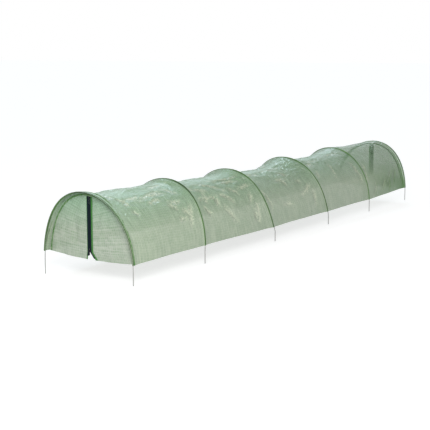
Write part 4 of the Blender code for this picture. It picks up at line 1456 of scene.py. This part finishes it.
def turned(profile, turn):
    """A profile as it lies at one end. To go inwards is +Y at the front end and -Y at the back."""
    return [(turn * along, out) for along, out in profile]


for end, turn in ENDS.items():
    hoop = 0 if end == "front" else HOOPS - 1
    face = strip_grid(hoop, turned(FACE_PROFILE, turn))
    roof = strip_grid(hoop, turned(ROOF_PROFILE, turn))
    finish = SEAM_TAPE if end == "front" else BACK_TAPE
    if end == "front":
        inward = np.array([along - ROOF_PROFILE[-1][0] for along, _ in ROOF_PROFILE])[:, None]
        ragged = 1 + 0.35 * SMALL(STRIP_SHARES * ARC, 0)
        roof[..., 1] += MM * (inward * BUNCHED * ragged - DRIFT_BY * DRIFT)
        lift = 2.2 * DRIFT - 0.16 * inward * BUNCHED
        roof += outward(hoop, to_angle(STRIP_SHARES)) * (lift * MM)[..., None]
    binding = join_grids(f"{end}_binding", [(face, end == "back"), (roof, end == "back")], finish)
    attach(binding, "tunnel")
    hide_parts(f"{end}_seam_binding")
    stitch_rows(f"{end}_binding_stitches", hoop, turned(FACE_STITCHES, turn), 30)
print("bindings", len(ENDS), "faces each", len(binding.data.polygons))

# %% [markdown]
# ## Zip tapes
# A zip is two navy tapes with a row of teeth along their meeting edges. Near the teeth the tape
# steps back, which leaves the slider its room, and beyond that it lies on the panel. The edges
# nearly touch where the zip is shut, and stand apart where the slider sits or will sit. Each tape
# is one piece from the V to the head.

# %% Zip tapes
TAPE_ENDS = {"left": 16 * MM, "right": 6 * MM}
TAPE_BRIMS = {"left": 9.8, "right": 10.6}
TAPE_BACK = [(0.6, 1.2), (4.6, 1.2), (9, 1.2)]
HEAD_REACH = 10 * MM
HEAD_GAP = 0.4 * MM
SHUT_FROM = 228.5 * MM
SHUT_TO = 416 * MM
SHUT_BY = 0.55 * MM
BAND_ROWS = 121


def tape_front(side):
    return [(0.6, 0.7), (4.6, 0.7), (4.9, 0.2), (5.2, -1.1), (5.6, -1.3), (TAPE_BRIMS[side], -1.3)]


def zip_head(end, side):
    """The height at which a zip half ends, under the binding."""
    arch = panel_arch(end)
    return np.interp(ZIP_U + HANDS[side] * HEAD_REACH, arch[:, 0], arch[:, 1]) - BINDING - HEAD_GAP


def meeting(z):
    """How much nearer to the zip line the meeting edge is, where the zip is shut."""
    return SHUT_BY * smoothstep(SHUT_FROM, SHUT_FROM + MM, z) * smoothstep(SHUT_TO, SHUT_TO - MM, z)


def band(name, end, side, front, back, z_low, finish):
    """A band beside the zip, from profiles of (reach, depth) points in mm for its two faces."""
    z = np.linspace(z_low, zip_head(end, side), BAND_ROWS)
    grids = []
    for profile, flip in ((front, side == "right"), (back, side != "right")):
        reaches = [reach * MM - (meeting(z) if reach < 1 else 0) for reach, _ in profile]
        u = np.stack([zip_edge(side, z, reach) for reach in reaches], axis=1)
        depth = MM * np.array([place for _, place in profile])[None, :]
        grids.append((in_place(end, u, depth, np.broadcast_to(z[:, None], u.shape)), flip))
    return join_grids(name, grids, finish)


for end, side in PANELS:
    name = f"{end}_{side}"
    tape_low = SPLIT_FOOT + TAPE_ENDS[side]
    tape = band(f"{name}_zip_tape", end, side, tape_front(side), TAPE_BACK, tape_low, NAVY_TAPE)
    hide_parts(f"{name}_zip", f"{name}_zip_head")
    bend_on_fold(tape, end, side)
print("zip tapes", len(PANELS), "faces each", len(tape.data.polygons))

# %% [markdown]
# ## Zip teeth
# The teeth are one plastic coil sewn along the edge of each tape. Its turns look like a row of
# small beads, so the same node group as for the stitches makes them, wider and closer together.
# They start just beside the meeting line, and further from it where the slider's wedge has to fit.

# %% Zip teeth
COIL_REACH = 1.75 * MM
COIL_DEPTH = 1.0 * MM
COIL_POINTS = 60
TEETH = {"Spacing": 1.5 * MM, "Size": (2.2 * MM, 1.9 * MM, 1.35 * MM), "Material": COIL}

for end, side in PANELS:
    name = f"{end}_{side}"
    z = np.linspace(SPLIT_FOOT + TAPE_ENDS[side], zip_head(end, side), COIL_POINTS)
    u = zip_edge(side, z, COIL_REACH - meeting(z))
    path = in_place(end, u, np.full_like(z, COIL_DEPTH), z)
    coil = along_paths(f"{name}_zip_coil", [path], BEADS, Seed=4, **TEETH)
    bend_on_fold(coil, end, side)
print("zip coils", len(PANELS), "faces each", len(coil.data.polygons))

# %% [markdown]
# ## Green strips beside the zip
# The film is bound with green tape where the zip is sewn in. The strip is wide right of the zip
# and narrow left of it, and it comes out from under the navy tape. It is cushioned a little, as
# a folded binding is, so its front face bulges between its two edges.

# %% Green strips beside the zip
STRIP_INNER = 6.7
STRIP_BEND = {"left": 7, "right": 8}
STRIP_OUTER = {"left": 12, "right": 18.5}
STRIP_LIFT = 0.4 * MM  # above the hem


def strip_front(side):
    """The front face of a strip, as (reach, depth) in mm: it bulges between its two edges."""
    bend, rim = STRIP_BEND[side], STRIP_OUTER[side]
    middle = (STRIP_INNER + rim) / 2
    return [(STRIP_INNER, -0.9), (bend, -1.05), (middle, -1.15), (rim - 0.4, -1.05), (rim, -0.9)]


for end, side in PANELS:
    name = f"{end}_{side}"
    back = [(STRIP_INNER, 0.55), (STRIP_OUTER[side], 0.55)]
    low = hem_height(panel_arch(end), zip_edge(side, SPLIT_FOOT)) + STRIP_LIFT
    strip = band(f"{name}_strip", end, side, strip_front(side), back, low, GREEN_TAPE)
    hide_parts(f"{name}_trim", f"{name}_head_trim")
    bend_on_fold(strip, end, side)
print("green strips", len(PANELS), "faces each", len(strip.data.polygons))

# %% [markdown]
# ## Slider, pull and top stop
# These are small castings, and the plain model already has their shapes and joints. Only their
# edges are too sharp: nothing cast or stamped has a razor edge. The model's own meshes aren't
# changed, so each casting is copied, its loose faces are merged, and a Bevel modifier rounds it.

# %% Slider, pull and top stop
# For each casting, the body it rides on, or None for the tunnel, and the rounding of its edges in mm.
CASTINGS = {"zip_slider": ("slider", 0.2), "zip_pull": ("pull", 0.15), "zip_top_stop": (None, 0.2)}
MERGE_WITHIN = 0.00001
FLAT_BELOW = math.radians(1)
SHARP_ABOVE = math.radians(40)


def softened(node, name, width):
    """A merged copy of a node's mesh with rounded edges."""
    shape = bmesh.new()
    shape.from_mesh(node.data)
    bmesh.ops.remove_doubles(shape, verts=shape.verts, dist=MERGE_WITHIN)
    bmesh.ops.dissolve_limit(shape, angle_limit=FLAT_BELOW, verts=shape.verts, edges=shape.edges)
    mesh = bpy.data.meshes.new(name)
    shape.to_mesh(mesh)
    shape.free()
    mesh.materials.clear()
    mesh.materials.append(METAL)
    made = bpy.data.objects.new(name, mesh)
    bpy.context.scene.collection.objects.link(made)
    bevel = made.modifiers.new("soft edges", "BEVEL")
    bevel.width = width
    bevel.segments = 2
    bevel.limit_method = "ANGLE"
    bevel.angle_limit = SHARP_ABOVE
    return made


for end in ENDS:
    for part, (body, width) in CASTINGS.items():
        piece = softened(frame["nodes"][f"{end}_{part}"], f"{end}_{part}_casting", width * MM)
        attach(piece, f"{end}_{body}" if body else "tunnel")
        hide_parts(f"{end}_{part}")
print("castings", len(ENDS) * len(CASTINGS), "faces of the last", len(piece.data.polygons))

# %% [markdown]
# ## The panels by name
# Cover and panels are sheets, cut flat and then hung, and the panels hang nearly flat. This step
# only looks up each panel by name.

# %% The panels by name
for end, side in PANELS:
    panel = bpy.data.objects[f"{end}_{side}_panel"]

# %% [markdown]
# ## Floor
# The photo shows the tunnel on pure white, with just a soft shadow under it. A floor lit to white
# would throw far too much light on the film, so the floor is a pale matt surface mixed with an
# even glow that only the camera, mirrors and clear things see. The matt part keeps the shadow.

# %% Floor
FLOOR_HALF = 60
GLOW_SHARE = 0.5
GLOW_STRENGTH = 1.42

corners = [(x * FLOOR_HALF, y * FLOOR_HALF, 0) for x, y in ((-1, -1), (1, -1), (1, 1), (-1, 1))]
floor_mesh = bpy.data.meshes.new("floor")
floor_mesh.from_pydata(corners, [], [(0, 1, 2, 3)])
floor = bpy.data.objects.new("floor", floor_mesh)
floor.location = (0, 0, SOIL_LINE)
bpy.context.scene.collection.objects.link(floor)


def background_ray(tree):
    """1 where the camera, a reflection or something clear looks at this surface, and 0 for light."""
    ray = tree.nodes.new("ShaderNodeLightPath").outputs
    seen = maths(tree, "MAXIMUM", ray["Is Camera Ray"], ray["Is Glossy Ray"])
    return maths(tree, "MAXIMUM", seen, ray["Is Transmission Ray"])


floor_finish, tree, shader = new_material("Floor")
shader.inputs["Base Color"].default_value = (0.94, 0.94, 0.94, 1)
shader.inputs["Roughness"].default_value = 0.9
shader.inputs["Specular IOR Level"].default_value = 0.0
glow = put(tree, "ShaderNodeEmission", {"Color": (1, 1, 1, 1), "Strength": GLOW_STRENGTH})
share = maths(tree, "MULTIPLY", background_ray(tree), GLOW_SHARE)
mixed = put(tree, "ShaderNodeMixShader", {0: share, 1: shader.outputs[0], 2: glow.outputs[0]})
tree.links.new(mixed.outputs[0], tree.nodes["Material Output"].inputs["Surface"])
floor_mesh.materials.append(floor_finish)
print("floor at", SOIL_LINE, "with", GLOW_SHARE, "glow")

# %% [markdown]
# ## Sky
# In a studio, white walls light the object softly from all sides. A world with an even pale
# colour does the same. It lights the film with one strength, while the camera, reflections and
# clear things see plain white, so the background is white and the film isn't washed out.

# %% Sky
SKY_COLOUR = (0.97, 0.985, 1.0, 1)
SKY_STRENGTH = 0.47

world = bpy.data.worlds.new("studio")
bpy.context.scene.world = world
world.use_nodes = True
tree = world.node_tree
tree.nodes.clear()
sky = put(tree, "ShaderNodeBackground", {"Color": SKY_COLOUR, "Strength": SKY_STRENGTH})
plain = put(tree, "ShaderNodeBackground", {"Color": (1, 1, 1, 1), "Strength": 1.0})
mixed = put(tree, "ShaderNodeMixShader", {0: background_ray(tree), 1: sky.outputs[0], 2: plain.outputs[0]})
put(tree, "ShaderNodeOutputWorld", {"Surface": mixed.outputs[0]})
print("sky strength", sky.inputs["Strength"].default_value)

# %% [markdown]
# ## Lamps
# The near end of the tunnel is the brightest, which a large round lamp close to it gives: its
# light fades with distance. A soft cool sun from behind shines through the film, so that the
# folds on the roof stand out, and a very wide, weak one from the side opens the shadows.

# %% Lamps
def hang(name, light, place, towards):
    """Places a light. towards is the direction that its light comes from."""
    made = bpy.data.objects.new(name, light)
    made.location = place
    made.rotation_euler = towards.to_track_quat("Z", "Y").to_euler()
    bpy.context.scene.collection.objects.link(made)


def lamp(name, place, target, size, power):
    """A soft round lamp that lights the near end more than the far end."""
    light = bpy.data.lights.new(name, "AREA")
    light.shape = "DISK"
    light.size = size
    light.energy = power
    hang(name, light, place, Vector(place) - Vector(target))


def sun(name, azimuth, elevation, strength, spread, colour):
    """A soft distant light. Azimuth 0 shines from the front (-Y), 90 from the right (+X)."""
    light = bpy.data.lights.new(name, "SUN")
    light.energy = strength
    light.angle = math.radians(spread)
    light.color = colour
    a, e = math.radians(azimuth), math.radians(elevation)
    towards = Vector((math.sin(a) * math.cos(e), -math.cos(a) * math.cos(e), math.sin(e)))
    hang(name, light, (0, 0, 0), towards)


lamp("key", place=(1.9, -3.7, 2.0), target=(0, -1.0, 0.2), size=1.6, power=84)
sun("rear", azimuth=210, elevation=35, strength=0.8, spread=16, colour=(0.7, 0.9, 1.0))
sun("side", azimuth=80, elevation=14, strength=0.26, spread=50, colour=(1.0, 0.98, 0.94))
print("lights", [light.name for light in bpy.data.lights])

# %% [markdown]
# ## Camera
# The camera stands where the photographer's did: to the right of the front end, about a metre
# above the soil. Place, direction and focal length come from fitting the six hoops of the model to
# the six in the photo. The focal length in pixels is turned into millimetres for a 36 mm sensor.

# %% Camera
IMAGE_WIDTH = 430
FOCAL_PIXELS = 1054.59
SENSOR_WIDTH = 36  # mm
CAMERA_PLACE = (2.7101, -4.7949, 0.9477 + SOIL_LINE)
AZIMUTH = math.radians(31.962)
ELEVATION = math.radians(8.978)
CLIP_END = 200

camera_data = bpy.data.cameras.new("camera")
camera_data.sensor_width = SENSOR_WIDTH
camera_data.lens = SENSOR_WIDTH * FOCAL_PIXELS / IMAGE_WIDTH
camera_data.clip_end = CLIP_END
camera = bpy.data.objects.new("camera", camera_data)
level = math.cos(ELEVATION)
forward = Vector((-math.sin(AZIMUTH) * level, math.cos(AZIMUTH) * level, -math.sin(ELEVATION)))
camera.location = CAMERA_PLACE
camera.rotation_euler = forward.to_track_quat("-Z", "Y").to_euler()
bpy.context.scene.collection.objects.link(camera)
bpy.context.scene.camera = camera
bpy.context.scene.view_settings.view_transform = "Standard"
print("camera lens", round(camera_data.lens, 2))
